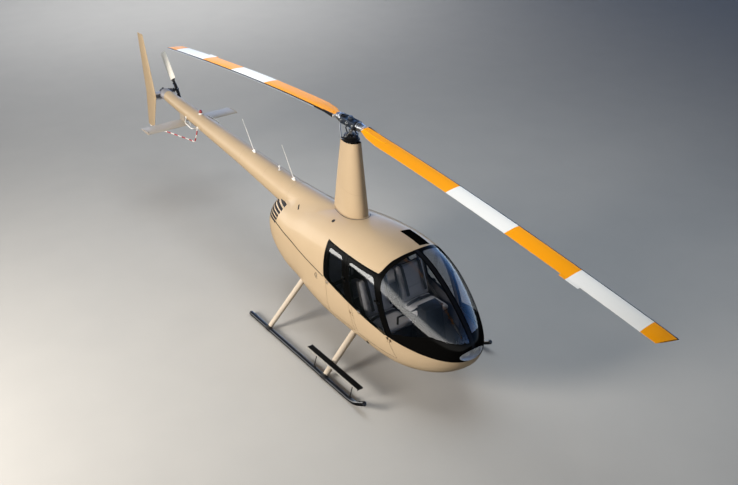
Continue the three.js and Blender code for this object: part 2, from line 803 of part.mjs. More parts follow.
// Landing gear. Each leg row: name, foot y, top y, top x, top z.
const LEGS = [
  ["front_leg", -826, -740, 550, 457],
  ["rear_leg", 598, 544, 550, 624],
];
const skidHull = (side) =>
  bar(
    [side * SKID_X, -1450, SKID_RADIUS],
    [side * SKID_X, 1120, SKID_RADIUS],
    SKID_RADIUS + GAP,
    SKID_RADIUS + GAP,
  );
const podHull = pod(-GAP);
for (const { suffix, side } of SIDES) {
  for (const [name, footY, topY, topX, topZ] of LEGS) {
    const foot = new THREE.Vector3(side * SKID_X, footY, SKID_RADIUS + 10);
    const top = new THREE.Vector3(side * topX, topY, topZ);
    const buried = top.clone().addScaledVector(top.clone().sub(foot).normalize(), 90);
    const leg = bar(foot.toArray(), buried.toArray(), LEG_RADIUS - 3, LEG_RADIUS + 4);
    add(`${name}_${suffix}`, leg.subtract(podHull).subtract(skidHull(side)), "paint");
  }
  add(
    `skid_${suffix}`,
    tube(
      rounded(
        [
          [side * SKID_X, 1107, SKID_RADIUS],
          [side * SKID_X, -1500, SKID_RADIUS],
          [side * SKID_X, -1727, 172],
        ],
        110,
        6,
      ),
      SKID_RADIUS,
      16,
    ),
    "black",
  );
  const [stepIn, stepOut] = [side * 950, side * 1045].sort((a, b) => a - b);
  const plate = box(stepIn, stepOut, -1510, -345, 212, 232);
  const posts = [-1360, -480].map((y) =>
    bar([side * 1030, y, 222], [side * SKID_X, y, SKID_RADIUS], 9, 9, 8));
  add(`step_${suffix}`, union(plate, ...posts).subtract(skidHull(side)), "black");
}

// Seats, console and controls
for (const { suffix, side } of SIDES) {
  const [x0, x1] = [side * 70, side * 540].sort((a, b) => a - b);
  const floorRise = FLOOR_TOP + GAP;
  add(
    `front_seat_${suffix}`,
    sideCut(
      [
        [-1450, floorRise],
        [-960, floorRise],
        [-800, 1330],
        [-870, 1345],
        [-1050, 860],
        [-1420, 880],
        [-1455, 850],
      ],
      x0,
      x1,
    ).intersect(pod(WALL + 12)),
    "leather",
  );
  add(
    `rear_seat_${suffix}`,
    sideCut(
      [
        [-560, floorRise],
        [-280, floorRise],
        [-200, 760],
        [-GAP, 760],
        [-GAP, 1420],
        [-75, 1420],
        [-130, 900],
        [-550, 910],
        [-580, 880],
      ],
      x0 * 0.96,
      x1 * 0.96,
    ).intersect(pod(WALL + 12)),
    "leather",
  );
}
add(
  "instrument_console",
  sideCut(
    [
      [-1900, FLOOR_TOP + GAP],
      [-1620, FLOOR_TOP + GAP],
      [-1560, 900],
      [-1600, 1180],
      [-1760, 1230],
      [-1800, 960],
    ],
    -150,
    150,
  ),
  "black",
);
add(
  "cyclic_stick",
  union(
    box(-45, 45, -1505, -1415, FLOOR_TOP + GAP, FLOOR_TOP + 12),
    tube(rounded([[0, -1460, FLOOR_TOP + 6], [0, -1520, 760], [0, -1430, 1010]], 90), 14, 8),
    bar([-330, -1430, 1010], [330, -1430, 1010], 13, 13, 8),
    bar([-330, -1430, 900], [-330, -1430, 1020], 16, 16, 8),
    bar([330, -1430, 900], [330, -1430, 1020], 16, 16, 8),
  ),
  "black",
);

// Outside fittings. Each antenna row: name, y, height of its foot, length upwards.
const ANTENNAS = [
  ["antenna_front", 1488, 1766, 450],
  ["antenna_rear", 2648, 1820, 430],
];
for (const [name, y, top, height] of ANTENNAS) {
  const mast = bar([0, y + 6, top - 4], [0, y + 280, top + height], 11, 6, 8);
  const foot = box(-18, 18, y - 40, y + 60, top - 30, top + 16);
  add(name, mast.add(foot).subtract(cone(-GAP, 10)), "white");
}
const BEACON = { y: 4440, foot: 1880, shoulder: 1980, top: 2000, radius: 42 };
const beaconAt = (z) => [0, BEACON.y, z];
add(
  "beacon",
  bar(beaconAt(BEACON.foot), beaconAt(BEACON.shoulder), BEACON.radius)
    .add(bar(beaconAt(BEACON.shoulder - 1), beaconAt(BEACON.top), BEACON.radius, 22))
    .subtract(coneHull),
  "red",
);

parts.position.y = MAST_Y;
export default parts;
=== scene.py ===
from math import atan2, cos, pi, radians, sin

import bpy
import numpy as np
from mathutils import Matrix, Vector
from mathutils.bvhtree import BVHTree
from mathutils.interpolate import poly_3d_calc


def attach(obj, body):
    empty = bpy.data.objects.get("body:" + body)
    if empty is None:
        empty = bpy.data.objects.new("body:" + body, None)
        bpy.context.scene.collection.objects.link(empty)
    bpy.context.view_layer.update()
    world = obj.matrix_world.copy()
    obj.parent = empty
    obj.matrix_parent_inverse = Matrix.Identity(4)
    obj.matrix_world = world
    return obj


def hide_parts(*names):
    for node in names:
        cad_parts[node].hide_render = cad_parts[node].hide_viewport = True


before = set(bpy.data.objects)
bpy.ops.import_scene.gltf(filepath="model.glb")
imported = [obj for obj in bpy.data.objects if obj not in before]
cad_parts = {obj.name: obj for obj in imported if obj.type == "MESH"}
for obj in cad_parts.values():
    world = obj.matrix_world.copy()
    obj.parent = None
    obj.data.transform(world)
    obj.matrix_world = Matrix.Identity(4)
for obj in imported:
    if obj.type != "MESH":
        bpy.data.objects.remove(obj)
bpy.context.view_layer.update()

# The camera stands ahead of the nose, to starboard and well above the rotor, as the perspective asks.
# Its lengths are in metres in the row frame. The pieces are drawn in millimetres from the mast.
MAST_Y = -690.35


def at(x, y, z):
    """A point given in millimetres, with y from the rotor mast."""
    return Vector((x, y + MAST_Y, z)) / 1000


CAMERA_SPOT, LENS_MM, SENSOR_MM = (-6.172, -9.34135, 7.353), 42.615, 36
eye = bpy.data.cameras.new("camera")
eye.lens, eye.sensor_width = LENS_MM, SENSOR_MM
camera = bpy.data.objects.new("camera", eye)
bpy.context.scene.collection.objects.link(camera)
turn = Matrix(
    (
        (0.79992, 0.29803, -0.52087),
        (-0.60010, 0.39078, -0.69798),
        (-0.00447, 0.87090, 0.49144),
    )
)
camera.matrix_world = Matrix.Translation(CAMERA_SPOT) @ turn.to_4x4()
bpy.context.scene.camera = camera

# The studio: a low warm key light from camera left, soft cool fills overhead and to port, two small
# lamps below the blades and one over the far floor. Each row is spot, aim, size, power and colour.
for number, (spot, aim, size, power, colour) in enumerate(
    [
        ((-11.5, 0.5, 5.2), (0, -1.0, 1.2), 4.5, 2200, (1.0, 0.91, 0.80)),
        ((1.0, 1.0, 11.0), (0, 0.5, 0.0), 9.0, 540, (0.86, 0.94, 1.0)),
        ((7.5, -8.5, 5.0), (0, -1.5, 1.2), 6.0, 110, (0.80, 0.90, 1.0)),
        ((0.3, -3.9, 5.6), (0.2, -3.9, 0), 1.6, 34, (1.0, 0.97, 0.92)),
        ((-0.3, 2.4, 5.6), (-0.2, 2.4, 0), 1.6, 34, (1.0, 0.97, 0.92)),
        ((6.0, 19.0, 9.0), (5.0, 20.0, 0), 14.0, 1500, (1.0, 0.98, 0.95)),
    ]
):
    lamp = bpy.data.lights.new(f"lamp_{number}", "AREA")
    lamp.shape, lamp.size, lamp.energy, lamp.color = "DISK", size, power, colour
    holder = bpy.data.objects.new(f"lamp_{number}", lamp)
    holder.location = spot
    holder.rotation_euler = (Vector(aim) - Vector(spot)).to_track_quat("-Z", "Y").to_euler()
    bpy.context.scene.collection.objects.link(holder)
    holder.visible_glossy = False
bpy.context.scene.view_settings.view_transform = "Standard"

# What the glass and the paint reflect: a bright low sky to starboard and a blue one to port, both dark
# below and overhead. The rows are heights and colours. The camera itself sees a plain grey backdrop.
STARBOARD_SKY = (
    (0.0, (0.002, 0.002, 0.002)),
    (0.10, (0.004, 0.004, 0.004)),
    (0.125, (1.0, 0.97, 0.91)),
    (0.32, (0.85, 0.85, 0.83)),
    (0.42, (0.10, 0.12, 0.15)),
    (0.65, (0.02, 0.03, 0.045)),
    (0.92, (0.004, 0.006, 0.010)),
)
PORT_SKY = (
    (0.0, (0.002, 0.002, 0.002)),
    (0.13, (0.004, 0.005, 0.006)),
    (0.17, (0.55, 0.66, 0.80)),
    (0.27, (0.20, 0.34, 0.60)),
    (0.46, (0.05, 0.13, 0.34)),
    (0.67, (0.014, 0.03, 0.07)),
    (0.92, (0.002, 0.004, 0.008)),
)
SKY_STRENGTH, BACKDROP = 4.6, (0.16, 0.17, 0.19, 1)
MIX_FACTOR, MIX_A, MIX_B = 0, 6, 7

surround = bpy.data.worlds.new("surround")
surround.use_nodes = True
sky, link = surround.node_tree, surround.node_tree.links.new
way = sky.nodes.new("ShaderNodeTexCoord")
split = sky.nodes.new("ShaderNodeSeparateXYZ")
link(way.outputs["Generated"], split.inputs[0])


def sky_range(axis, low, high):
    span = sky.nodes.new("ShaderNodeMapRange")
    span.inputs["From Min"].default_value, span.inputs["From Max"].default_value = low, high
    link(split.outputs[axis], span.inputs["Value"])
    return span.outputs[0]


across, height = sky_range("X", -0.3, 0.5), sky_range("Z", -0.2, 1.0)
both = sky.nodes.new("ShaderNodeMix")
both.data_type = "RGBA"
link(across, both.inputs[MIX_FACTOR])
for socket, stops in ((MIX_A, STARBOARD_SKY), (MIX_B, PORT_SKY)):
    shades = sky.nodes.new("ShaderNodeValToRGB")
    ramp = shades.color_ramp
    for number, (stop, colour) in enumerate(stops):
        place = ramp.elements[number] if number < 2 else ramp.elements.new(stop)
        place.position, place.color = stop, (*colour, 1)
    link(height, shades.inputs[0])
    link(shades.outputs[0], both.inputs[socket])
reflected, backdrop = sky.nodes["Background"], sky.nodes.new("ShaderNodeBackground")
link(both.outputs[2], reflected.inputs["Color"])
reflected.inputs["Strength"].default_value = SKY_STRENGTH
backdrop.inputs["Color"].default_value = BACKDROP
seen, either = sky.nodes.new("ShaderNodeLightPath"), sky.nodes.new("ShaderNodeMixShader")
link(seen.outputs["Is Camera Ray"], either.inputs[0])
link(reflected.outputs[0], either.inputs[1])
link(backdrop.outputs[0], either.inputs[2])
link(either.outputs[0], sky.nodes["World Output"].inputs["Surface"])
bpy.context.scene.world = surround
surround.cycles_visibility.diffuse = False


def start():
    """Object mode with nothing selected, so that an operator acts on what comes next alone."""
    if bpy.context.object and bpy.context.object.mode != "OBJECT":
        bpy.ops.object.mode_set(mode="OBJECT")
    bpy.ops.object.select_all(action="DESELECT")


def pick(piece):
    start()
    piece.select_set(True)
    bpy.context.view_layer.objects.active = piece
    return piece


class Value:
    """A value inside a finish. Arithmetic on it adds Math nodes."""

    def __init__(self, finish, socket):
        self.finish, self.socket = finish, socket

    def math(self, operation, *values):
        return self.finish.node("ShaderNodeMath", {"operation": operation}, dict(enumerate(values)))

    def __add__(self, other):
        return self.math("ADD", self, other)

    def __sub__(self, other):
        return self.math("SUBTRACT", self, other)

    def __rsub__(self, other):
        return self.math("SUBTRACT", other, self)

    def __mul__(self, other):
        return self.math("MULTIPLY", self, other)

    def __truediv__(self, other):
        return self.math("DIVIDE", self, other)

    def __abs__(self):
        return self.math("ABSOLUTE", self)

    def __gt__(self, other):
        return self.math("GREATER_THAN", self, other)

    def __lt__(self, other):
        return self.math("LESS_THAN", self, other)

    def least(self, other):
        return self.math("MINIMUM", self, other)

    def most(self, other):
        return self.math("MAXIMUM", self, other)

    def root(self):
        return self.math("SQRT", self)

    def band(self, middle, half, soft=0.0008):
        """1 within half of middle, falling to 0 over soft."""
        return self.finish.ramp(abs(self - middle), half + soft, half)

    def rises(self, start, soft=0.0008):
        """0 below start, 1 above it."""
        return self.finish.ramp(self, start, start + soft)

    def saw(self):
        """Ridges: 0.5 at whole numbers, falling to 0 halfway between them."""
        return abs(self.math("FRACT", self) - 0.5)

    __radd__, __rmul__ = __add__, __mul__


class Finish:
    """A material that starts from constant settings of its shader."""

    def __init__(self, name, colour, **settings):
        self.material = bpy.data.materials.new(name)
        self.material.use_nodes = True
        self.tree = self.material.node_tree
        self.shader = self.tree.nodes["Principled BSDF"]
        self.shader.inputs["Base Color"].default_value = (*colour, 1)
        for socket, value in settings.items():
            self.shader.inputs[socket.replace("_", " ")].default_value = value

    def node(self, kind, settings=None, inputs=None, output=0):
        made = self.tree.nodes.new(kind)
        for key, value in (settings or {}).items():
            setattr(made, key, value)
        for key, value in (inputs or {}).items():
            if isinstance(value, Value):
                self.tree.links.new(value.socket, made.inputs[key])
            else:
                made.inputs[key].default_value = value
        return Value(self, made.outputs[output])

    def place(self):
        return self.node("ShaderNodeTexCoord", output="Object")

    def axes(self):
        """x, y from the mast and z of the point, in metres."""
        where = self.node("ShaderNodeSeparateXYZ", inputs={0: self.place()}).socket.node
        x, y, z = (Value(self, socket) for socket in where.outputs)
        return x, y - MAST_Y / 1000, z

    def ramp(self, value, start, end):
        limits = {"Value": value, "From Min": start, "From Max": end}
        return self.node("ShaderNodeMapRange", {"clamp": True}, limits)

    def noise(self, scale, detail=3.0, stretch=(1, 1, 1), rough=0.5):
        where = self.node("ShaderNodeMapping", inputs={0: self.place(), "Scale": stretch})
        texture = {"Vector": where, "Scale": scale, "Detail": detail, "Roughness": rough}
        return self.node("ShaderNodeTexNoise", inputs=texture)

    def blend(self, factor, first, second):
        first = first if isinstance(first, Value) else (*first, 1)
        second = second if isinstance(second, Value) else (*second, 1)
        inputs = {MIX_FACTOR: factor, MIX_A: first, MIX_B: second}
        return self.node("ShaderNodeMix", {"data_type": "RGBA"}, inputs, output=2)

    def feed(self, **sockets):
        for name, value in sockets.items():
            self.tree.links.new(value.socket, self.shader.inputs[name.replace("_", " ")])
        return self

    def relief(self, height, depth):
        """Bumps of the given depth in metres where height is 1."""
        bump = self.node("ShaderNodeBump", inputs={"Height": height, "Distance": depth})
        return self.feed(Normal=bump)

    def mottled(self, low, high, patches, rough, spread, marks):
        """Colour in soft patches from low to high, and roughness in finer ones. Both are noise settings."""
        return self.feed(
            Base_Color=self.blend(self.noise(*patches), low, high),
            Roughness=self.noise(*marks) * spread + rough,
        )

    def facing(self, blend=0.5):
        """0 where the surface faces the eye, 1 at its outline."""
        return self.node("ShaderNodeLayerWeight", inputs={"Blend": blend}, output=1)



def ride(piece, body, slot, *stands_for):
    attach(piece, body)
    if stands_for:
        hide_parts(*stands_for)
    return piece


floor_paint = Finish("studio_floor", (0.44, 0.44, 0.43), Roughness=0.85)
floor_paint.feed(
    Base_Color=floor_paint.blend(floor_paint.noise(1.3, 4), (0.43, 0.43, 0.425), (0.47, 0.47, 0.46))
)
start()
bpy.ops.mesh.primitive_plane_add(size=600, location=(0, 0, -0.001))
floor = bpy.context.object
floor.name = "floor"
floor.data.materials.append(floor_paint.material)
floor.visible_glossy = False

# The paint of the fuselage: cream with a clear coat, and a gloss black zone round the windows that
# runs from the nose to behind the rear doors. Its panels meet in fine dark seams.
CREAM, CREAM_LIGHT, GLOSS_BLACK = (0.435, 0.335, 0.220), (0.475, 0.37, 0.248), (0.003, 0.003, 0.003)
BLACK_TOP = 1.652


def weathered(finish, base, pale):
    """The base colour with soft cloudy variation, darker in noisy patches towards the bottom."""
    cloud = finish.noise(2.2, 4)
    tone = finish.blend(cloud, base, pale)
    _, _, z = finish.axes()
    darker_low = finish.noise(9, 5, (1, 1, 0.4)) * finish.ramp(z, 0.9, 0.35) * 0.25
    return finish.blend(darker_low, tone, tuple(0.45 * c for c in base))


def above_sweep(y, z):
    """1 above the curved lower edge of the black zone, which climbs from the nose to the rear doors."""
    return z > 1.185 + 0.24 * y + 0.042 * y * y


def before_cowl(y, z):
    """1 ahead of the black zone's slanted rear edge."""
    return y < -0.150 + (z - 1.64) * 0.09


fuselage = Finish("fuselage_paint", CREAM, Coat_Roughness=0.06, Specular_IOR_Level=0.12)
_, y, z = fuselage.axes()
below_roof = (z < BLACK_TOP).most(y < -1.26 + (z - 1.655) * -0.75)
black_zone = before_cowl(y, z) * above_sweep(y, z) * below_roof
fuselage.feed(
    Base_Color=fuselage.blend(black_zone, weathered(fuselage, CREAM, CREAM_LIGHT), GLOSS_BLACK),
    Roughness=0.34 - black_zone * 0.14 + fuselage.noise(40, 3) * 0.06,
    Coat_Weight=0.2 - black_zone * 0.2,
)
fuselage.relief(fuselage.noise(180, 1), 0.00002)


def blacked(paint, zone, roughness=0.2, shine=0.03):
    """Changes a paint or a clear plastic to a plain deep black in a zone."""
    black = paint.node(
        "ShaderNodeBsdfPrincipled",
        inputs={"Base Color": (*GLOSS_BLACK, 1), "Roughness": roughness, "Specular IOR Level": shine},
    )
    choice = paint.node(
        "ShaderNodeMixShader", inputs={0: zone, 1: Value(paint, paint.shader.outputs[0]), 2: black}
    )
    paint.tree.links.new(choice.socket, paint.tree.nodes["Material Output"].inputs["Surface"])


blacked(fuselage, black_zone)

lining = Finish("cabin_lining", (0.05, 0.05, 0.055))
lining.mottled((0.035, 0.035, 0.04), (0.075, 0.075, 0.08), (30, 4), 0.65, 0.2, (60, 3))
lining.relief(lining.noise(160, 2), 0.0001)

rubber = Finish("black_rubber", (0.012, 0.012, 0.012))
rubber.mottled((0.008, 0.008, 0.008), (0.022, 0.022, 0.022), (25, 3), 0.45, 0.25, (50, 3))

# The fuselage pod is a riveted and moulded shell. All of its panels are cut from one smooth body, so
# that roof, doors, belly and engine cowl carry on into each other with only a seam between them.
POD = [
    (-2511, 905, 905, 0, 905, 2.0, 2.0),
    (-2505, 850, 965, 50, 905, 2.0, 2.0),
    (-2480, 760, 1060, 160, 905, 2.0, 2.0),
    (-2410, 670, 1165, 265, 910, 2.0, 2.1),
    (-2290, 570, 1300, 365, 915, 2.1, 2.3),
    (-2100, 470, 1480, 465, 930, 2.2, 2.6),
    (-1850, 400, 1665, 550, 955, 2.35, 3.0),
    (-1600, 372, 1800, 605, 985, 2.45, 3.4),
    (-1300, 365, 1880, 636, 1015, 2.6, 3.6),
    (-1000, 365, 1908, 645, 1040, 2.65, 3.6),
    (-650, 365, 1905, 645, 1050, 2.65, 3.6),
    (-300, 365, 1875, 640, 1060, 2.6, 3.6),
    (50, 370, 1825, 622, 1070, 2.5, 3.4),
    (400, 385, 1765, 597, 1080, 2.4, 3.0),
    (750, 425, 1700, 558, 1090, 2.3, 2.6),
    (1080, 470, 1640, 524, 1095, 2.4, 2.6),
    (1370, 580, 1600, 474, 1105, 2.3, 2.5),
    (1570, 710, 1545, 410, 1110, 2.2, 2.4),
    (1705, 850, 1450, 318, 1115, 2.1, 2.2),
    (1785, 975, 1305, 190, 1120, 2.0, 2.0),
    (1808, 1060, 1200, 80, 1125, 2.0, 2.0),
    (1813, 1125, 1125, 0, 1125, 2.0, 2.0),
]
POD_RINGS, POD_SIDES = 132, 120
WALL = 34


def smooth_rows(rows, count):
    """Rows read off a smooth curve through the given ones, evenly spaced along it."""
    table = np.array(rows, float)
    steps = np.linalg.norm(np.diff(table[:, :4], axis=0), axis=1)
    along = np.concatenate([[0], np.cumsum(steps)])
    slopes = np.gradient(table, along, axis=0)
    spots = np.linspace(0, along[-1], count)
    cell = np.clip(np.searchsorted(along, spots, side="right") - 1, 0, len(along) - 2)
    width = (along[cell + 1] - along[cell])[:, None]
    t = ((spots - along[cell])[:, None]) / width
    return (
        (2 * t**3 - 3 * t**2 + 1) * table[cell]
        + (t**3 - 2 * t**2 + t) * width * slopes[cell]
        + (3 * t**2 - 2 * t**3) * table[cell + 1]
        + (t**3 - t**2) * width * slopes[cell + 1]
    )


def turns(count):
    """The angles of a full turn in equal steps."""
    return [2 * pi * i / count for i in range(count)]


def skin(name, rings, ends=True):
    """A sheet rolled into a tube through rings of points, its seam merged and its ends filled."""
    count = len(rings[0])
    start()
    bpy.ops.mesh.primitive_grid_add(x_subdivisions=count, y_subdivisions=len(rings) - 1, size=2)
    piece = bpy.context.object
    piece.name = name
    piece.data.name = name
    sheet = np.empty(len(piece.data.vertices) * 3)
    piece.data.vertices.foreach_get("co", sheet)
    sheet = sheet.reshape(-1, 3)
    column = np.rint((sheet[:, 0] + 1) / 2 * count).astype(int) % count
    row = np.rint((sheet[:, 1] + 1) / 2 * (len(rings) - 1)).astype(int)
    points = np.array([[tuple(p) for p in ring] for ring in rings])
    piece.data.vertices.foreach_set("co", points[row, column].ravel())
    piece.location = (0, 0, 0)
    bpy.ops.object.mode_set(mode="EDIT")
    bpy.ops.mesh.select_all(action="SELECT")
    bpy.ops.mesh.remove_doubles(threshold=1e-6)
    if ends:
        bpy.ops.mesh.select_all(action="DESELECT")
        bpy.ops.mesh.select_mode(type="EDGE")
        bpy.ops.mesh.select_non_manifold(extend=False)
        bpy.ops.mesh.edge_face_add()
        bpy.ops.mesh.select_mode(type="VERT")
    bpy.ops.mesh.select_all(action="SELECT")
    bpy.ops.mesh.normals_make_consistent(inside=False)
    bpy.ops.object.mode_set(mode="OBJECT")
    return piece


def pod_ring(row, inset):
    """One ring of the pod. Above and below its waist it is a rounded square of its own."""
    y, bottom, top, half, waist, upper, lower = row
    ring = []
    for a in turns(POD_SIDES):
        c, s = cos(a), sin(a)
        power = upper if s >= 0 else lower
        reach = max((top - waist if s >= 0 else waist - bottom) - inset, 0)
        r = (abs(c) ** power + abs(s) ** power) ** (-1 / power)
        ring.append(at(r * c * max(half - inset, 0), y, waist + r * s * reach))
    return ring


def pod(inset, name="pod"):
    """The pod drawn in by inset on all sides."""
    rows = [list(row) for row in POD if row[3] > inset * 1.6 + 20 or (inset < 5 and row[3] == 0)]
    if inset >= 5:
        for end, pull in ((0, 0.6), (-1, -0.6)):
            rows[end][0] += pull * inset
    return skin(name, [pod_ring(row, inset) for row in smooth_rows(rows, POD_RINGS)])


def carve(piece, tool, operation="DIFFERENCE"):
    """Cuts piece with tool, or keeps what is inside tool."""
    pick(piece)
    cut = piece.modifiers.new("cut", "BOOLEAN")
    cut.operation, cut.solver, cut.object = operation, "MANIFOLD", tool
    bpy.ops.object.modifier_apply(modifier=cut.name)
    bpy.data.objects.remove(tool)
    return piece


def copy_of(piece, name):
    twin = bpy.data.objects.new(name, piece.data.copy())
    twin.data.name = name
    bpy.context.scene.collection.objects.link(twin)
    return twin


def rounded(outline, radii, steps=6):
    """Rounds the corners of an outline of (y, z) points."""
    radii = [radii] * len(outline) if np.isscalar(radii) else radii
    out = []
    for i, corner in enumerate(outline):
        before, after = Vector(outline[i - 1]), Vector(outline[(i + 1) % len(outline)])
        corner = Vector(corner)
        if radii[i] <= 0:
            out.append(tuple(corner))
            continue
        first = corner + (before - corner).normalized() * radii[i]
        last = corner + (after - corner).normalized() * radii[i]
        for k in range(steps + 1):
            t = k / steps
            out.append(tuple(first * (1 - t) ** 2 + corner * 2 * t * (1 - t) + last * t * t))
    return out


def side_cut(outline, x0, x1):
    """A cutter: a side view outline of (y, z) points, carried across from x0 to x1."""
    ends = [[at(x, y, z) for y, z in outline] for x in (x0, x1)]
    return skin("cutter", ends)


def slab(x0, x1, y0, y1, z0, z1):
    return side_cut([(y0, z0), (y1, z0), (y1, z1), (y0, z1)], x0, x1)


def line(y0, z0, y1, z1):
    return lambda z: y0 + (y1 - y0) * (z - z0) / (z1 - z0)


FRONT_POST = line(-1215, 1640, -1560, 930)
MIDDLE_POST = line(-620, 1640, -800, 1040)
REAR_POST = line(-190, 1640, -235, 1140)
DOOR_LOW, DOOR_HIGH, SILL_Z = 620, 1640, 598
WIDE, WINDOW_FRAME = 900, 52


def screen_aft(z):
    return FRONT_POST(z) - 60


def door_outline(front, rear, shrink, radius=26):
    low, high = DOOR_LOW + shrink, DOOR_HIGH - shrink
    corners = [
        (front(low) + shrink, low),
        (rear(low) - shrink, low),
        (rear(high) - shrink, high),
        (front(high) + shrink, high),
    ]
    return rounded(corners, max(radius - shrink * 0.5, 4))


def window_outline(front, rear, shrink):
    high = DOOR_HIGH - WINDOW_FRAME - shrink
    lead = (24 if front is FRONT_POST else WINDOW_FRAME) + shrink
    low_rear = 1185 + rear(1130) * 0.188 + shrink
    low_front = 1185 + front(1000) * 0.188 + shrink
    corners = [
        (front(low_front) + lead, low_front),
        (rear(low_rear) - WINDOW_FRAME - shrink, low_rear),
        (rear(high) - WINDOW_FRAME - shrink, high),
        (front(high) + lead, high),
    ]
    return rounded(corners, max(WINDOW_FRAME - shrink, 8))


def screen_outline(shrink):
    return [
        (-2700, 1990),
        (-2700, 865 + shrink),
        (-2400, 865 + shrink),
        (screen_aft(905) - shrink, 905 + shrink),
        (screen_aft(1655) - shrink, 1655),
        (-1292 - shrink, 1715),
        (-1318 - shrink, 1800),
        (-1366 - shrink, 1872),
        (-1440 - shrink, 1990),
    ]


def mid_front(z):
    return MIDDLE_POST(z) - 28


def mid_rear(z):
    return MIDDLE_POST(z) + 28


DOORS = {"front_door": (FRONT_POST, mid_front, 626), "rear_door": (mid_rear, REAR_POST, 650)}
SIDES = {"port": 1, "starboard": -1}


def flank(side):
    return (60, WIDE) if side > 0 else (-WIDE, -60)


outer_skin, inner_skin = pod(0, "pod_outer"), pod(WALL, "pod_inner")
guide = BVHTree.FromObject(outer_skin, bpy.context.evaluated_depsgraph_get())
guide_normals = [v.normal.copy() for v in outer_skin.data.vertices]
guide_faces = [tuple(p.vertices) for p in outer_skin.data.polygons]
guide_points = [v.co.copy() for v in outer_skin.data.vertices]


def pod_normal(point):
    """The direction straight out of the pod's smooth skin nearest to a point."""
    spot, _, face, _ = guide.find_nearest(point)
    corners = guide_faces[face]
    weights = poly_3d_calc([guide_points[k] for k in corners], spot)
    return sum((guide_normals[k] * w for k, w in zip(corners, weights)), Vector()).normalized()


shell = copy_of(outer_skin, "pod_shell")
hollow = copy_of(inner_skin, "hollow")
carve(shell, hollow)


def behind(edge, shift):
    return side_cut(
        [(edge(200) + shift, 200), (2500, 200), (2500, 2200), (edge(2200) + shift, 2200)],
        -WIDE,
        WIDE,
    )


def tub_space(grow):
    return side_cut(
        [
            (-2700, 200),
            (2100, 200),
            (2100, SILL_Z + grow),
            (screen_aft(SILL_Z) + 30 + grow, SILL_Z + grow),
            (screen_aft(905) + 2 + grow, 945),
            (-2700, 945),
        ],
        -WIDE,
        WIDE,
    )


def skinned(piece, inner):
    """Gives a panel the pod's smooth shading outside, and its inner face and edges another finish."""
    mesh = piece.data
    mesh.materials.clear()
    mesh.materials.append(fuselage.material)
    mesh.materials.append(inner.material)
    normals = [None] * len(mesh.loops)
    for face in mesh.polygons:
        face.use_smooth = True
        out = pod_normal(face.center).dot(face.normal)
        face.material_index = 0 if out > -0.3 else 1
        for k in face.loop_indices:
            if abs(out) > 0.9:
                way = pod_normal(mesh.vertices[mesh.loops[k].vertex_index].co)
                normals[k] = way if out > 0 else -way
            else:
                normals[k] = face.normal.copy()
    mesh.normals_split_custom_set(normals)
    return piece


door_holes = [
    side_cut(door_outline(front, rear, 0), *flank(side))
    for side in SIDES.values()
    for front, rear, _ in DOORS.values()
]
cabin = copy_of(shell, "cabin_roof_skin")
for hole in door_holes:
    carve(cabin, hole)
carve(cabin, side_cut(screen_outline(0), -WIDE, WIDE))
carve(cabin, behind(REAR_POST, 60))
tub = copy_of(cabin, "cabin_tub_skin")
carve(tub, tub_space(0), "INTERSECT")
carve(cabin, tub_space(0.4))
carve(cabin, slab(-WIDE, WIDE, -2800, 0, 200, SILL_Z + 0.4))
skinned(cabin, lining)
skinned(tub, lining)
ride(cabin, "airframe", "paint", "cabin_roof")
ride(tub, "airframe", "paint", "cabin_tub")

bpy.data.objects.remove(outer_skin)

# Four doors, each a framed piece of the same wall with a large window and a moulded lining. A door
# hangs on two barrel hinges along its slanted front edge, and shuts against a rubber seal.
HINGE_HEIGHTS = (880, 1330)
GAP = 0.4


def rod(name, first, last, radius, far_radius=None, sides=32, edge=0.0):
    """A round bar between two points, in millimetres from the mast, its ends slightly broken."""
    first, last = at(*first), at(*last)
    far_radius = radius if far_radius is None else far_radius
    start()
    bpy.ops.mesh.primitive_cone_add(
        vertices=sides,
        radius1=radius / 1000,
        radius2=far_radius / 1000,
        depth=(last - first).length,
        location=(first + last) / 2,
        rotation=(last - first).to_track_quat("Z", "Y").to_euler(),
    )
    piece = bpy.context.object
    piece.name = piece.data.name = name
    return finished(piece, edge)


def finished(piece, edge=0.0, angle=35, steps=2):
    """Breaks the sharp edges, shades what is left smooth, and puts the place into the mesh."""
    pick(piece)
    bpy.ops.object.transform_apply(location=True, rotation=True, scale=True)
    if edge:
        bevel = piece.modifiers.new("edge", "BEVEL")
        bevel.width, bevel.segments, bevel.limit_method = edge / 1000, steps, "ANGLE"
        bevel.angle_limit = radians(angle)
        bpy.ops.object.modifier_apply(modifier=bevel.name)
    bpy.ops.object.shade_smooth_by_angle(angle=radians(angle))
    return piece


def smooth(piece, angle):
    pick(piece)
    bpy.ops.object.shade_smooth_by_angle(angle=radians(angle))
    return piece


def block(name, x0, x1, y0, y1, z0, z1, edge=1.5, steps=2):
    """A block with rounded edges, in millimetres from the mast."""
    start()
    bpy.ops.mesh.primitive_cube_add(size=1, location=at((x0 + x1) / 2, (y0 + y1) / 2, (z0 + z1) / 2))
    piece = bpy.context.object
    piece.name = piece.data.name = name
    piece.scale = (abs(x1 - x0) / 1000, abs(y1 - y0) / 1000, abs(z1 - z0) / 1000)
    return finished(piece, edge, steps=steps)


def joined(name, *pieces):
    pick(pieces[0])
    for piece in pieces[1:]:
        piece.select_set(True)
    bpy.ops.object.join()
    pieces[0].name = pieces[0].data.name = name
    return pieces[0]


def coated(piece, *finishes):
    piece.data.materials.clear()
    for finish in finishes:
        piece.data.materials.append(finish.material)
    return piece


def turned_about(piece, matrix):
    """Moves the mesh itself."""
    piece.data.transform(matrix)
    piece.data.update()
    return piece


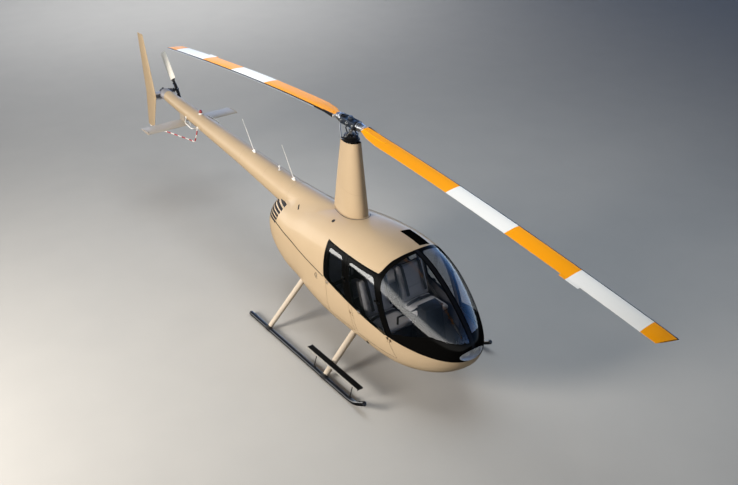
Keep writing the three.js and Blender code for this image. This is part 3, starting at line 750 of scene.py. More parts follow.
def hinge_place(front, hinge_x, side, height):
    low = at(side * hinge_x, front(DOOR_LOW), DOOR_LOW)
    high = at(side * hinge_x, front(DOOR_HIGH), DOOR_HIGH)
    up = (high - low).normalized()
    aft = up.cross(Vector((1, 0, 0)))
    spot = low.lerp(high, (height - DOOR_LOW) / (DOOR_HIGH - DOOR_LOW))
    frame_of_hinge = Matrix((Vector((1, 0, 0)), aft, up)).transposed().to_4x4()
    return Matrix.Translation(spot) @ frame_of_hinge @ Matrix.Translation((0, -MAST_Y / 1000, 0))


def knuckle(name, side, of_door, place):
    low, high = (GAP / 2, 32) if of_door else (-32, -GAP / 2)
    fore, aft = (5, 46) if of_door else (-46, -5)
    barrel = rod(name, (0, 0, low), (0, 0, high), 9, sides=24, edge=1)
    leaf = block("leaf", -side * 30, side * 2, fore, aft, low + 1, high - 1, 1)
    bolts = [
        rod(
            "bolt",
            (side * 1, (fore + aft) / 2, low + h),
            (side * 4.5, (fore + aft) / 2, low + h),
            3.4,
            sides=6,
        )
        for h in (8, 23)
    ]
    return turned_about(joined(name, barrel, leaf, *bolts), place)


hinge_paint = Finish("hinge_paint", GLOSS_BLACK, Specular_IOR_Level=0.1)
_, y, z = hinge_paint.axes()
hinge_paint.feed(
    Base_Color=hinge_paint.blend(above_sweep(y, z), CREAM, GLOSS_BLACK),
    Roughness=0.3 + hinge_paint.noise(60, 2) * 0.2,
)

glass = Finish("tinted_glass", (0.002, 0.003, 0.003), Roughness=0.015, IOR=3.0)
edge_on = glass.facing()
glass.feed(Alpha=0.50 + edge_on * edge_on * edge_on * 0.5)
glass_back = Finish("glass_inner_face", (0.006, 0.009, 0.013), Roughness=0.05)
glass_back.feed(Alpha=0.02 + glass_back.noise(2, 1) * 0.01)

pane_edge = Finish("pane_edge", (0.01, 0.01, 0.012))
pane_edge.feed(Roughness=0.2 + pane_edge.noise(30, 2) * 0.15)

glass_outer, glass_inner = pod(1.5, "glass_outer"), pod(7.5, "glass_inner")
glass_shell = carve(glass_outer, glass_inner)


def glazed(piece, clear=None):
    """Smooth shading from the pod, clear faces, and dark edges all round."""
    skinned(piece, pane_edge)
    coated(piece, clear or glass, pane_edge, glass_back)
    for face in piece.data.polygons:
        out = pod_normal(face.center).dot(face.normal)
        face.material_index = 0 if out > 0.6 else 2 if out < -0.6 else 1
    return piece


for suffix, side in SIDES.items():
    for name, (front, rear, hinge_x) in DOORS.items():
        body = f"{name}_{suffix}"
        panel = copy_of(shell, f"{body}_panel")
        carve(panel, side_cut(door_outline(front, rear, 6), *flank(side)), "INTERSECT")
        carve(panel, side_cut(window_outline(front, rear, 0), *flank(side)))
        pane = copy_of(glass_shell, f"{body}_window")
        carve(pane, side_cut(window_outline(front, rear, 0.5), *flank(side)), "INTERSECT")
        for level, height in enumerate(HINGE_HEIGHTS):
            place = hinge_place(front, hinge_x, side, height)
            for piece, low, high in ((panel, -38, 0), (cabin, 0, 38)):
                room = rod("room", (0, 0, low), (0, 0, high), 14, sides=20)
                carve(piece, turned_about(room, place))
            for of_door in (True, False):
                half = knuckle(f"{body}_hinge_{level}_{int(of_door)}", side, of_door, place)
                ride(coated(half, hinge_paint), body if of_door else "airframe", "paint")
        ride(skinned(panel, lining), body, "paint", body)
        ride(glazed(pane), body, "glass", f"{name}_pane_{suffix}")
skinned(cabin, lining)

seal_outer, seal_inner = pod(35.5, "seal_outer"), pod(43, "seal_inner")
seals = carve(seal_outer, seal_inner)
for suffix, side in SIDES.items():
    for name, (front, rear, _) in DOORS.items():
        seal = copy_of(seals, f"{name}_seal_{suffix}")
        carve(seal, side_cut(door_outline(front, rear, -14), *flank(side)), "INTERSECT")
        carve(seal, side_cut(door_outline(front, rear, 13), *flank(side)))
        ride(coated(seal, rubber), "airframe", "black_parts")
bpy.data.objects.remove(seals)

# The windscreen is two bubbles of clear acrylic, held by a black band along their edges, with a black
# bow between them from the roof to the nose.
BOW_HALF = 24
acrylic = Finish("windscreen_acrylic", (0.004, 0.007, 0.012), Roughness=0.02, IOR=2.5)
wx, wy, wz = acrylic.axes()
post = (wy + 1.268 + (1.655 - wz) * 0.4859) * -0.899
top_edge = (wy + 1.268 + (wz - 1.655) * 0.42) * -0.92
from_top = (0.17 - top_edge.most(1.60 - wz)).most(0)
from_post = (0.13 - post).most(0)
corner = (from_top * from_top + from_post * from_post).root()
port_lift = (wx > 0.0) * acrylic.ramp(wy, -2.25, -2.40) * 0.07
nose_dip, aft_dip = acrylic.ramp(wy, -2.18, -2.43) * 0.057, acrylic.ramp(wy, -2.15, -1.55) * 0.19
chin = wz < 1.144 - nose_dip - aft_dip + port_lift
band = (corner > 0.105).most(chin).most(abs(wx) < 0.044)
edge_on = acrylic.facing()
acrylic.feed(Alpha=0.26 + edge_on * edge_on * edge_on * 0.68)
blacked(acrylic, band, 0.12)


def oval(name, half_x, low, high):
    """A cutter of oval section that runs into the nose from ahead."""
    middle, half_z = (low + high) / 2, (high - low) / 2
    ends = [[at(half_x * cos(a), y, middle + half_z * sin(a)) for a in turns(48)] for y in (-2800, -1900)]
    return skin(name, ends)


LAMP_OVAL = (190, 842, 992)
for suffix, side in SIDES.items():
    screen = copy_of(glass_shell, f"windscreen_{suffix}_bubble")
    carve(screen, side_cut(screen_outline(0.5), -WIDE, WIDE), "INTERSECT")
    half = (BOW_HALF, WIDE) if side > 0 else (-WIDE, -BOW_HALF)
    carve(screen, slab(*half, -2800, 0, 0, 2200), "INTERSECT")
    carve(screen, oval("lamp_hole", *LAMP_OVAL))
    ride(glazed(screen, acrylic), "airframe", "glass", f"windscreen_{suffix}")
bpy.data.objects.remove(glass_shell)

bow_skin, bow_core = pod(-0.5, "windscreen_bow_strip"), pod(20, "core")
bow = carve(bow_skin, bow_core)
carve(bow, side_cut(screen_outline(0.4), -WIDE, WIDE), "INTERSECT")
carve(bow, slab(0.5 - BOW_HALF, BOW_HALF - 0.5, -2800, 0, 0, 2200), "INTERSECT")
carve(bow, oval("lamp_hole", *LAMP_OVAL))
bow_paint = Finish("bow_paint", (0.006, 0.006, 0.007), Specular_IOR_Level=0.05)
bow_paint.feed(Roughness=0.25 + bow_paint.noise(35, 3) * 0.25)
skinned(bow, bow_paint)
ride(coated(bow, bow_paint, bow_paint), "airframe", "black_parts", "windscreen_bow")

# The engine cowl closes the pod behind the cabin and runs into the tail cone. It has cooling louvres
# on its rear corners, an opening below, a short slot on top that is not cut but painted black as its
# shade, and a thin seam along each side.
TAILCONE = [
    (330, 1788, 300),
    (900, 1776, 262),
    (1500, 1765, 228),
    (3000, 1836, 172),
    (5000, 1934, 122),
    (5690, 1968, 102),
]
CONE_JOINT = 1350


def cone_row(y):
    """Top and radius of the tail cone at a place along it."""
    ys = [row[0] for row in TAILCONE]
    return np.interp(y, ys, [r[1] for r in TAILCONE]), np.interp(y, ys, [r[2] for r in TAILCONE])


def cone(name, start_y, end_y, inset, rings=40, sides=96):
    out = []
    for y in np.linspace(start_y, end_y, rings):
        top, radius = cone_row(y)
        r = radius - inset
        out.append([at(r * cos(a), y, top - radius + r * sin(a)) for a in turns(sides)])
    return skin(name, out)


cowl = copy_of(shell, "engine_cowl_skin")
carve(cowl, behind(REAR_POST, 60.4), "INTERSECT")
carve(cowl, slab(-230, 230, 420, 980, 300, 640))
saddle = cone("cowl_fairing", 330, CONE_JOINT, 0)
fairing_core = cone("core", 320, CONE_JOINT + 5, 26)
pod_core = copy_of(inner_skin, "core")
for tool, operation in ((saddle, "UNION"), (fairing_core, "DIFFERENCE"), (pod_core, "DIFFERENCE")):
    carve(cowl, tool, operation)


def on_pod(y, angle):
    """A point of the pod's skin in the plane y, at an angle round its waist from the port side."""
    bottom, top, half, waist, upper, lower = (
        np.interp(y, [r[0] for r in POD], [r[k] for r in POD]) for k in range(1, 7)
    )
    c, s = cos(angle), sin(angle)
    r = (abs(c) ** upper + abs(s) ** upper) ** (-1 / upper)
    return Vector((r * c * half, waist + r * s * (top - waist)))


BLEND_START, BLEND_END, BLEND_RINGS = 345, 1318, 56


def blend_strip(side):
    """A hollow curve laid along the corner between the roof and the fairing that grows out of it."""
    rings = []
    for k in range(BLEND_RINGS):
        y = BLEND_START + (BLEND_END - BLEND_START) * k / (BLEND_RINGS - 1)
        top, radius = cone_row(y)
        middle = Vector((0, top - radius))
        angles = [radians(20 + 70 * i / 400) for i in range(401)]
        skin_line = [on_pod(y, a) for a in angles]
        corner = next(i for i, p in enumerate(skin_line) if (p - middle).length < radius)
        grow = min(1, 0.12 + (y - BLEND_START) / 240) * min(1, max(BLEND_END - y, 0) / 260 + 0.02)
        reach_pod, reach_cone = 125 * grow, 105 * grow
        i, run = corner, 0.0
        while run < reach_pod and i > 0:
            run += (skin_line[i] - skin_line[i - 1]).length
            i -= 1
        start_point = skin_line[i]
        p = skin_line[corner] - middle
        turn_to = atan2(p.y, p.x) + reach_cone / radius
        end_point = middle + Vector((cos(turn_to), sin(turn_to))) * radius
        before = (skin_line[i] - skin_line[max(i - 6, 0)]).normalized()
        after = Vector((-sin(turn_to), cos(turn_to)))
        pull = (end_point - start_point).length * 0.42
        curve = (start_point, start_point + before * pull, end_point - after * pull, end_point)
        row = []
        for j in range(15):
            t = j / 14
            shares = ((1 - t) ** 3, 3 * t * (1 - t) ** 2, 3 * t * t * (1 - t), t**3)
            spot = sum((point * share for point, share in zip(curve, shares)), Vector((0, 0)))
            lift = 0.7 * sin(pi * t) + 0.15
            out = Vector((after.y, -after.x)) * t + Vector((before.y, -before.x)) * (1 - t)
            row.append(at(side * (spot.x + out.x * lift), y, spot.y + out.y * lift))
        deep = [at(side * (q.x * 0.94), y, q.y - 12) for q in (end_point, skin_line[corner], start_point)]
        rings.append(row + deep)
    return skin("blend", rings)


LOUVRES = ((1533, 1225), (1481, 1232), (1431, 1250), (1381, 1268), (1331, 1284), (1283, 1298))
LOUVRE_IN, LOUVRE_HALF = 170, 17
for z, y in LOUVRES:
    for half in ((-WIDE, -LOUVRE_IN), (LOUVRE_IN, WIDE)):
        carve(cowl, slab(*half, y, 1860, z - LOUVRE_HALF, z + LOUVRE_HALF))

cowl_paint = Finish("cowl_paint", CREAM, Coat_Roughness=0.06, Specular_IOR_Level=0.12)
cx, cy, cz = cowl_paint.axes()
seam_line = cz - (1.128 + (cy + 0.202) * 0.111)
side_seam = seam_line.band(0, 0.0078) * cy.rises(-0.18) * (cy < 1.29)
black_post = before_cowl(cy, cz) * above_sweep(cy, cz) * (cz < BLACK_TOP)
# The slot is a capsule painted flat black on the skin: painted shade of an opening that is not cut.
along_slot = (cx + 0.281) * -0.659 - (cy - 0.933) * 0.752
beside_slot = (cx + 0.281) * 0.752 - (cy - 0.933) * 0.659
past = (abs(along_slot) - 0.034).most(0)
slot = ((past * past + beside_slot * beside_slot).root() < 0.0105) * (cz > 1.45)
ring_seam = cy.band(1.345, 0.003)
dark = side_seam.most(black_post).most(slot).most(ring_seam * 0.25)
cowl_paint.feed(
    Base_Color=cowl_paint.blend(dark, weathered(cowl_paint, CREAM, CREAM_LIGHT), GLOSS_BLACK),
    Roughness=0.34 - black_post * 0.14 + cowl_paint.noise(40, 3) * 0.06,
    Coat_Weight=0.2 - dark * 0.2,
)
cowl_paint.relief(side_seam * -1, 0.0012)


strips = [smooth(blend_strip(side), 32) for side in (-1, 1)]
ride(coated(joined("fairing_blend", *strips), cowl_paint), "airframe", "paint")
smooth(coated(cowl, cowl_paint, lining), 28)
for face in cowl.data.polygons:
    spot = face.center * 1000
    for z, y in LOUVRES:
        wall = abs(face.normal.z) > 0.95 and abs(abs(spot.z - z) - LOUVRE_HALF) < 0.6
        front = face.normal.y > 0.95 and abs(spot.y - MAST_Y - y) < 0.6 and abs(spot.z - z) < LOUVRE_HALF
        if abs(spot.x) > LOUVRE_IN - 5 and spot.y - MAST_Y > y - 1 and (wall or front):
            face.material_index = 1
ride(cowl, "airframe", "paint", "engine_cowl")
for template in (shell, inner_skin):
    bpy.data.objects.remove(template)

# Firewall and engine: a dark plate behind the rear seats, and the flat engine below the cowl, seen only
# through the louvres and the opening in the belly.
soot = Finish("engine_enamel", (0.09, 0.09, 0.10), Metallic=0.35)
soot.mottled((0.035, 0.035, 0.04), (0.13, 0.13, 0.13), (14, 5), 0.4, 0.35, (35, 4))
soot.relief(soot.noise(180, 3), 0.0004)
for name in ("rear_bulkhead", "engine_block"):
    coated(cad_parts[name], soot)

# The tail cone is a tapered tube of rolled aluminium sheets, lapped at rings and along its belly, and
# held by rows of flush rivets. Its paint carries on from the cowl.
RIVETS_ROUND, BAY_LENGTH = 44, 0.741
THIN_COAT = {"Coat_Weight": 0.1, "Coat_Roughness": 0.08}
tail_paint = Finish("tail_cone_paint", CREAM, Specular_IOR_Level=0.12, **THIN_COAT)
tx, ty, tz = tail_paint.axes()
middle_z = 1.537 + tail_paint.ramp(ty, 1.5, 5.69) * 0.329
around = tx.math("ARCTAN2", tx, tz - middle_z)
bay = (ty - 1.345) / BAY_LENGTH
to_ring = (bay + 0.5).saw() * BAY_LENGTH
spoke = (around * (RIVETS_ROUND / (2 * pi))).saw() * (2 * pi / RIVETS_ROUND) * 0.16
beside = abs(to_ring - 0.011)
stud = (beside * beside + spoke * spoke).root()
rivets = tail_paint.ramp(stud, 0.0034, 0.0022)
lap = to_ring.band(0, 0.0012, 0.0012)
belly_lap = abs(around).rises(3.10, 0.01)
relief = rivets * 0.7 - lap - belly_lap * 0.6
grey = weathered(tail_paint, CREAM, CREAM_LIGHT)
streaks = tail_paint.noise(6, 5, (3, 0.6, 3))
tail_paint.feed(
    Base_Color=tail_paint.blend(
        lap * 0.28 + rivets * 0.22 + streaks.rises(0.62, 0.25) * 0.10, grey, (0.20, 0.14, 0.08)
    ),
    Roughness=0.32 + rivets * 0.1 + tail_paint.noise(30, 3) * 0.08,
)
tail_paint.relief(relief, 0.0006)

tube = cone("tailcone_skin", CONE_JOINT + 0.4, 5690, 0, rings=60)
bore = cone("bore", CONE_JOINT - 4, 5694, 4, rings=60)
carve(tube, bore)
collar = cone("collar", CONE_JOINT - 14, CONE_JOINT + 26, -1.6, rings=3)
collar_bore = cone("collar_bore", CONE_JOINT - 20, CONE_JOINT + 30, 0.2, rings=3)
carve(collar, collar_bore)
tube = smooth(joined("tailcone_skin", tube, finished(collar, 0.6, steps=1)), 30)
ride(coated(tube, tail_paint), "airframe", "paint", "tailcone")

# Tail gearbox: a dark cast housing with an arm to port that carries the tail rotor's shaft and a filler on
# top, and a pale alloy cap over the end of the cone, held by rings of steel bolts.
cast = Finish("cast_housing", (0.06, 0.06, 0.07), Metallic=0.3)
cast.mottled((0.035, 0.035, 0.04), (0.095, 0.093, 0.10), (22, 5), 0.42, 0.25, (60, 4))
cast.relief(cast.noise(300, 2), 0.0001)
steel = Finish("bare_steel", (0.55, 0.55, 0.56), Metallic=1.0)
steel.mottled((0.42, 0.42, 0.43), (0.66, 0.66, 0.66), (30, 4), 0.2, 0.25, (80, 3, (1, 1, 6)))
satin_black = Finish("satin_black", (0.016, 0.016, 0.018), Specular_IOR_Level=0.25)
satin_black.mottled((0.005, 0.005, 0.006), (0.016, 0.015, 0.015), (18, 4), 0.3, 0.25, (45, 4))
satin_black.relief(satin_black.noise(240, 2), 0.0002)


def turned_piece(name, spine, profile, sides=48):
    """A turned piece: (distance, radius) rings along a line between two points."""
    first, last = (at(*p) for p in spine)
    axis = (last - first).normalized()
    side = axis.orthogonal().normalized()
    up = axis.cross(side)
    rings = [
        [
            first + axis * (d / 1000) + (side * cos(a) + up * sin(a)) * (r / 1000)
            for a in turns(sides)
        ]
        for d, r in profile
    ]
    return finished(skin(name, rings), angle=40)


def bolt_ring(name, centre, axis, circle, count, radius=5, height=5, start_angle=0.0):
    """Hexagon bolt heads on a circle round an axis: one head, copied round."""
    axis = Vector(axis).normalized()
    side = axis.orthogonal().normalized()
    up = axis.cross(side)
    heads = []
    for i in range(count):
        a = 2 * pi * i / count + start_angle
        spot = Vector(centre) + (side * cos(a) + up * sin(a)) * circle
        heads.append(rod("head", spot, spot + axis * height, radius, sides=6, edge=0.8))
    return joined(name, *heads)


cap_rings = (
    (5690.4, 1866, 100.5), (5693, 1866.2, 102), (5808, 1874.8, 99.4), (5811, 1875, 101.8),
    (5834, 1876.8, 101.4), (5837, 1877, 98), (5847, 1877.8, 96), (5850, 1878, 88),
)
end_cap = finished(
    skin(
        "end_cap",
        [
            [at(r * cos(a), y, z + r * sin(a)) for a in turns(64)]
            for y, z, r in cap_rings
        ],
    ),
    angle=40,
)
housing = turned_piece(
    "gearbox_housing",
    ((0, 5842, 1878), (0, 5985, 1886)),
    [(0, 72), (26, 71), (29, 77), (41, 77), (44, 70), (108, 66), (128, 57), (139, 44), (143, 30)],
)
arm = turned_piece(
    "gearbox_arm",
    ((40, 5890, 1890), (156.6, 5890, 1890)),
    [(0, 56), (50, 52), (54, 56), (62, 56), (66, 47), (104, 45), (116.6, 44)],
)
bolts = bolt_ring("bolts", (0, 5846, 1878), (0, 1, 0.06), 84, 8, 5, 6)
cap_bolts = bolt_ring("cap_bolts", (94, 5890, 1890), (1, 0, 0), 51, 6, 4, 6)
filler = turned_piece(
    "filler", ((0, 5925, 1935), (0, 5925, 1975)), [(0, 15), (18, 15), (20, 18), (30, 18), (33, 14)], 24
)
gearbox = joined("gearbox_castings", housing, arm, filler)
cap_alloy = Finish("cap_alloy", (0.33, 0.33, 0.37), Metallic=0.35)
cap_alloy.mottled((0.24, 0.24, 0.275), (0.40, 0.395, 0.42), (16, 5), 0.38, 0.25, (55, 4))
cap_alloy.relief(cap_alloy.noise(300, 2), 0.0001)
ride(coated(gearbox, cast), "airframe", "black_parts", "tail_gearbox")
ride(coated(end_cap, cap_alloy), "airframe", "black_parts")
ride(coated(joined("gearbox_bolts", bolts, cap_bolts), steel), "airframe", "steel")

# The fin: an aerofoil of painted sheet over ribs, in two tapered halves that meet at its bracket, with a
# rounded cap on top. The ribs show as fine dark seams.
def foil_ring(place, chord, thick, count=25):
    """An aerofoil section, blunt ahead and thin behind, as points of place(along, across)."""
    upper = []
    for k in range(count):
        u = 0.5 * (1 - cos(pi * k / (count - 1)))
        v = 5 * (0.2969 * u**0.5 - 0.126 * u - 0.3516 * u**2 + 0.2843 * u**3 - 0.1015 * u**4)
        upper.append((u, max(v, 0.035) if k > 2 else v))
    ring = [place(u * chord, v * thick) for u, v in upper]
    return ring + [place(u * chord, -v * thick) for u, v in upper[:0:-1]]


def blended(rows, places):
    """Table rows read off straight lines between the given ones."""
    table = np.array(rows, float)
    return [[s, *(np.interp(s, table[:, 0], table[:, k]) for k in range(1, table.shape[1]))] for s in places]


FIN_X = -184
FIN = [
    (1185, 6096, 253, 26),
    (1480, 5987, 323, 34),
    (1838, 5848, 412, 38),
    (2400, 5980, 312, 34),
    (2935, 6105, 217, 24),
]
heights = sorted({row[0] for row in FIN} | set(np.linspace(FIN[0][0], FIN[-1][0], 24)))
sheet_paint = Finish("fin_paint", CREAM, Specular_IOR_Level=0.15, **THIN_COAT)
_, _, fz = sheet_paint.axes()
rib = (fz - 1.843).band(0, 0.0016) + (fz - 1.30).band(0, 0.001) + (fz - 2.60).band(0, 0.001)
sheet_paint.feed(
    Base_Color=sheet_paint.blend(
        rib.least(1) * 0.45, weathered(sheet_paint, CREAM, CREAM_LIGHT), (0.2, 0.14, 0.08)
    ),
    Roughness=0.31 + sheet_paint.noise(35, 3) * 0.1,
)
sheet_paint.relief(rib * -1, 0.0006)
fin = skin(
    "fin_skin",
    [
        foil_ring(lambda u, v: at(FIN_X + v, lead + u, z), chord, thick)
        for z, lead, chord, thick in blended(FIN, heights)
    ],
)
cap = skin(
    "fin_cap",
    [
        foil_ring(lambda u, v: at(FIN_X + v * k, 6107 + u * k + (1 - k) * 80, 2935 + h), 213, 23)
        for k, h in ((1.0, -2), (0.93, 4), (0.8, 8))
    ],
)
fin = joined("fin_skin", finished(fin), finished(cap))
ride(coated(fin, sheet_paint), "airframe", "paint", "vertical_fin")

# The fin bracket: an alloy channel between the gearbox and the fin, open ahead, with holes drilled in its
# upper and lower walls.
bracket = block("fin_bracket_arm", -176, -60, 5820, 5935, 1795, 1912, 3)
carve(bracket, slab(-300, 0, 5800, 5917, 1811, 1896))
for x in (-150, -118):
    for z in (1700, 2000):
        carve(bracket, rod("hole", (x, 5868, z - 110), (x, 5868, z + 110), 11))
finished(bracket)
ride(coated(bracket, cap_alloy), "airframe", "paint", "fin_bracket")

# The stabiliser: two halves of riveted sheet on a round spar below the cone, with a thin plate at each tip
# and two upright ribs that hold it to the cone.
STAB_Z, STAB_FRONT, STAB_CHORD, STAB_SPAN, STAB_ROOT = 1641, 4731, 345, 853, 110
stab_paint = Finish("stabiliser_paint", (0.66, 0.58, 0.46), Coat_Roughness=0.1)
sx, sy, _ = stab_paint.axes()
spar = (sy - 4.835).band(0, 0.0010) + (sy - 4.950).band(0, 0.0008)
pop, off_line = (sx / 0.042).saw() * 0.042, abs(sy - 4.842)
dots = (pop * pop + off_line * off_line).root()
pops = stab_paint.ramp(dots, 0.0032, 0.0020)
stab_paint.feed(
    Base_Color=stab_paint.blend(
        spar.least(1) * 0.4 + pops * 0.2,
        weathered(stab_paint, (0.36, 0.32, 0.27), (0.41, 0.365, 0.31)),
        (0.2, 0.15, 0.1),
    ),
    Roughness=0.36 + stab_paint.noise(35, 3) * 0.12,
)
stab_paint.relief(pops - spar, 0.0005)
pieces = []
for side in (-1, 1):
    pieces.append(
        skin(
            "half",
            [
                foil_ring(lambda u, v: at(x, STAB_FRONT + u, STAB_Z + v), STAB_CHORD, 34)
                for x in np.linspace(side * STAB_ROOT, side * (STAB_SPAN - 4), 9)
            ],
        )
    )
    pieces.append(
        skin(
            "end_plate",
            [
                foil_ring(lambda u, v: at(x, STAB_FRONT - 5 + u, STAB_Z + v), STAB_CHORD + 10, 48)
                for x in (side * (STAB_SPAN - 4), side * STAB_SPAN)
            ],
        )
    )
    rib = block("rib", side * STAB_ROOT, side * (STAB_ROOT + 10), 4862, 5046, STAB_Z - 12, 1772, 2)
    carve(rib, cone("cone", 4700, 5200, -0.4, rings=6))
    pieces.append(finished(rib))
pieces.append(rod("spar", (-STAB_ROOT - 5, 4955, STAB_Z), (STAB_ROOT + 5, 4955, STAB_Z), 14))
stabiliser = finished(joined("stabiliser_skin", *pieces))
ride(coated(stabiliser, stab_paint), "airframe", "paint", "horizontal_stabiliser")


# Rail antennas: one white rod a side, bent into a long loop beside the cone, with both of its ends in
# turned pads that are seated on the skin.
def bent_tube(name, points, radius, cut, sides=20, steps=8):
    """A bent tube through corner points, each corner rounded off by cut."""
    path = [Vector(p) for p in points]
    route = [path[0]]
    for before, corner, after in zip(path, path[1:], path[2:]):
        reach = min(cut, (corner - before).length * 0.49, (corner - after).length * 0.49)
        first = corner + (before - corner).normalized() * reach
        last = corner + (after - corner).normalized() * reach
        for k in range(steps + 1):
            t = k / steps
            route.append(first * (1 - t) ** 2 + corner * 2 * t * (1 - t) + last * t * t)
    route.append(path[-1])
    across, rings = None, []
    for i, point in enumerate(route):
        along = (route[min(i + 1, len(route) - 1)] - route[max(i - 1, 0)]).normalized()
        across = along.orthogonal() if across is None else across - along * across.dot(along)
        across.normalize()
        up = along.cross(across)
        rings.append([at(*(point + (across * cos(a) + up * sin(a)) * radius)) for a in turns(sides)])
    return finished(skin(name, rings), angle=50)


white_paint = Finish("white_paint", (0.80, 0.79, 0.76))
white_paint.mottled((0.70, 0.69, 0.66), (0.85, 0.84, 0.81), (12, 4), 0.28, 0.15, (35, 3))
for suffix, side in SIDES.items():
    rail = bent_tube(
        f"rail_antenna_rod_{suffix}",
        [
            (side * 118, 4334, 1718), (side * 265, 4289, 1743), (side * 242, 4590, 1758),
            (side * 112, 4781, 1770),
        ],
        9,
        50,
    )
    pads = [
        turned_piece(
            "pad",
            ((side * 152, 4324, 1724), (side * 122, 4333, 1717)),
            [(0, 14), (6, 22), (14, 27), (30, 28)],
            28,
        ),
        turned_piece(
            "pad",
            ((side * 128, 4757, 1769), (side * 108, 4787, 1771)),
            [(0, 12), (6, 18), (16, 24), (34, 25)],
            28,
        ),
    ]
    for pad in pads:
        carve(pad, cone("cone", 4200, 4900, -0.4, rings=8))
    rail = joined(f"rail_antenna_rod_{suffix}", rail, *(finished(pad) for pad in pads))
    ride(coated(rail, white_paint), "airframe", "white_parts", f"rail_antenna_{suffix}")

# The tail guard: a tube painted in red and white stripes, bent down from the cone ahead of the stabiliser
# and back to the foot of the fin.
stripes = Finish("striped_guard", (0.8, 0.8, 0.8))
_, gy, gz = stripes.axes()
run = (gy - gz) / 0.25
red = run.math("FRACT", run) > 0.5
stripes.feed(
    Base_Color=stripes.blend(red, (0.82, 0.80, 0.77), (0.45, 0.02, 0.02)),
    Roughness=0.3 + stripes.noise(30, 3) * 0.2,
)
guard = bent_tube(
    "tail_guard_tube",
    [
        (0, 4634, 1716),
        (0, 4656, 1500),
        (0, 4805, 1262),
        (0, 4960, 1250),
        (FIN_X, 6190, 1161),
        (FIN_X, 6260, 1156),
        (FIN_X, 6266, 1184),
    ],
    11,
    110,
)
ride(coated(guard, stripes), "airframe", "white_parts", "tail_guard")

# The mast fairing: a tall sheath of moulded sheet round the mast, blunt ahead and sharp behind, open at its
# top, with a seam down its trailing edge, and a flange and a bead of sealant round its foot.
FAIRING_LOW, FAIRING_TOP = (1560, -345, 800, 300), (2870, -178, 415, 166)


def fairing(name, inset, extend, rings=26):
    out = []
    for k in range(rings):
        t = k / (rings - 1)
        z0, nose, chord, thick = (a + (b - a) * t for a, b in zip(FAIRING_LOW, FAIRING_TOP))
        z0 += extend * (2 * t - 1)
        out.append(
            foil_ring(
                lambda u, v: at(v, nose + inset + u, z0 - t**6 * (u * 0.17 - 38)),
                chord - 2.6 * inset,
                thick - 2 * inset,
                33,
            )
        )
    return skin(name, out)


fairing_paint = Finish("fairing_paint", CREAM, Specular_IOR_Level=0.15, **THIN_COAT)
mx, my, mz = fairing_paint.axes()
tail_seam = (my - 0.255 + (mz - 2.87) * 0.152).rises(-0.045, 0.001) * abs(mx).band(0.004, 0.0014)
joint = (mz - 2.20).band(0, 0.0012)
fairing_paint.feed(
    Base_Color=fairing_paint.blend(
        joint * 0.35 + tail_seam * 0.5, weathered(fairing_paint, CREAM, CREAM_LIGHT), (0.16, 0.11, 0.07)
    ),
    Roughness=0.31 + fairing_paint.noise(35, 3) * 0.1,
)
fairing_paint.relief(fairing_paint.noise(5, 2) * 0.4 - joint - tail_seam, 0.0008)
sheath = fairing("mast_fairing_sheath", 0, 0)
carve(sheath, fairing("hollow", 4, 30))
carve(sheath, pod(-0.4, "roof_block"))
carve(sheath, cone("cone", 330, 1500, -0.4, rings=8))
coated(smooth(sheath, 40), fairing_paint, satin_black)
# Inner walls near the open top take the black finish: painted shade inside its mouth, and the dark parts
# within it.
for face in sheath.data.polygons:
    spot = face.center * 1000
    inward = Vector((spot.x, (spot.y - MAST_Y) * 0.35, 0)).dot(face.normal) < 0
    if inward and abs(face.normal.z) < 0.5 and spot.z > 1700:
        face.material_index = 1
ride(sheath, "airframe", "paint", "mast_fairing")

flange = carve(pod(-5, "fairing_flange"), pod(-0.4, "core"))
carve(flange, fairing("edge", -20, 0), "INTERSECT")
carve(flange, fairing("within", -0.5, 30))
carve(flange, cone("cone", 330, 1500, -0.4, rings=8))
bead = carve(pod(-2.6, "fairing_sealant"), pod(-0.4, "core"))
carve(bead, fairing("edge", -29, 0), "INTERSECT")
carve(bead, fairing("within", -20.4, 30))
carve(bead, cone("cone", 330, 1500, -0.4, rings=8))
ride(coated(finished(flange, 0), fairing_paint), "airframe", "paint")
ride(coated(finished(bead, 0), rubber), "airframe", "black_parts")

# The fixed tube round the mast with its top flange, painted black, and the three plated push-pull rods
# that come out of the fairing and rise to the swashplate.
tube = turned_piece(
    "mast_tube_casting",
    ((0, 0, 1700), (0, 0, 2935)),
    [
        (180, 46), (1180, 46), (1196, 56), (1204, 80), (1208, 85), (1235, 85), (1235, 40),
        (1210, 33), (1000, 33),
    ],
)
ride(coated(tube, satin_black), "airframe", "black_parts", "mast_tube")
rods = []
for turn_angle in (100, 220, 340):
    c, s = cos(radians(turn_angle)), sin(radians(turn_angle))
    rods.append(rod("push_rod", (58 * c, 58 * s, 2640), (66 * c, 66 * s, 2922), 6.5, sides=16))
    rods.append(rod("rod_end", (66 * c, 66 * s, 2912), (67 * c, 67 * s, 2941), 9, 8, sides=16, edge=1))
rods.append(bolt_ring("flange_bolts", (0, 0, 2935), (0, 0, 1), 76, 9, 4.5, 5, 0.2))
ride(coated(joined("control_rods", *rods), steel), "airframe", "steel")

# The mast: a turned steel shaft. What it carries is drawn round its foot, or about the hub's middle, and
# then set at the angle of the rotor's turn and tilt at rest.
HUB_Z, ROTOR_TURN, ROTOR_TEETER = 3150, radians(1.6), radians(2.75)
to_row = Matrix.Translation((0, MAST_Y / 1000, 0)) @ Matrix.Rotation(ROTOR_TURN, 4, "Z")
teeter = to_row @ Matrix.Translation((0, 0, HUB_Z / 1000)) @ Matrix.Rotation(ROTOR_TEETER, 4, "X")
from_mast = Matrix.Translation((0, -MAST_Y / 1000, 0))


def on_plate(piece):
    """Takes a piece drawn round the mast's foot to its place on the turned rotor."""
    return turned_about(piece, to_row @ from_mast)


def in_rotor(piece):
    """Takes a piece drawn about the hub's middle to its place on the turned and tilted rotor."""
    return turned_about(piece, teeter @ from_mast)


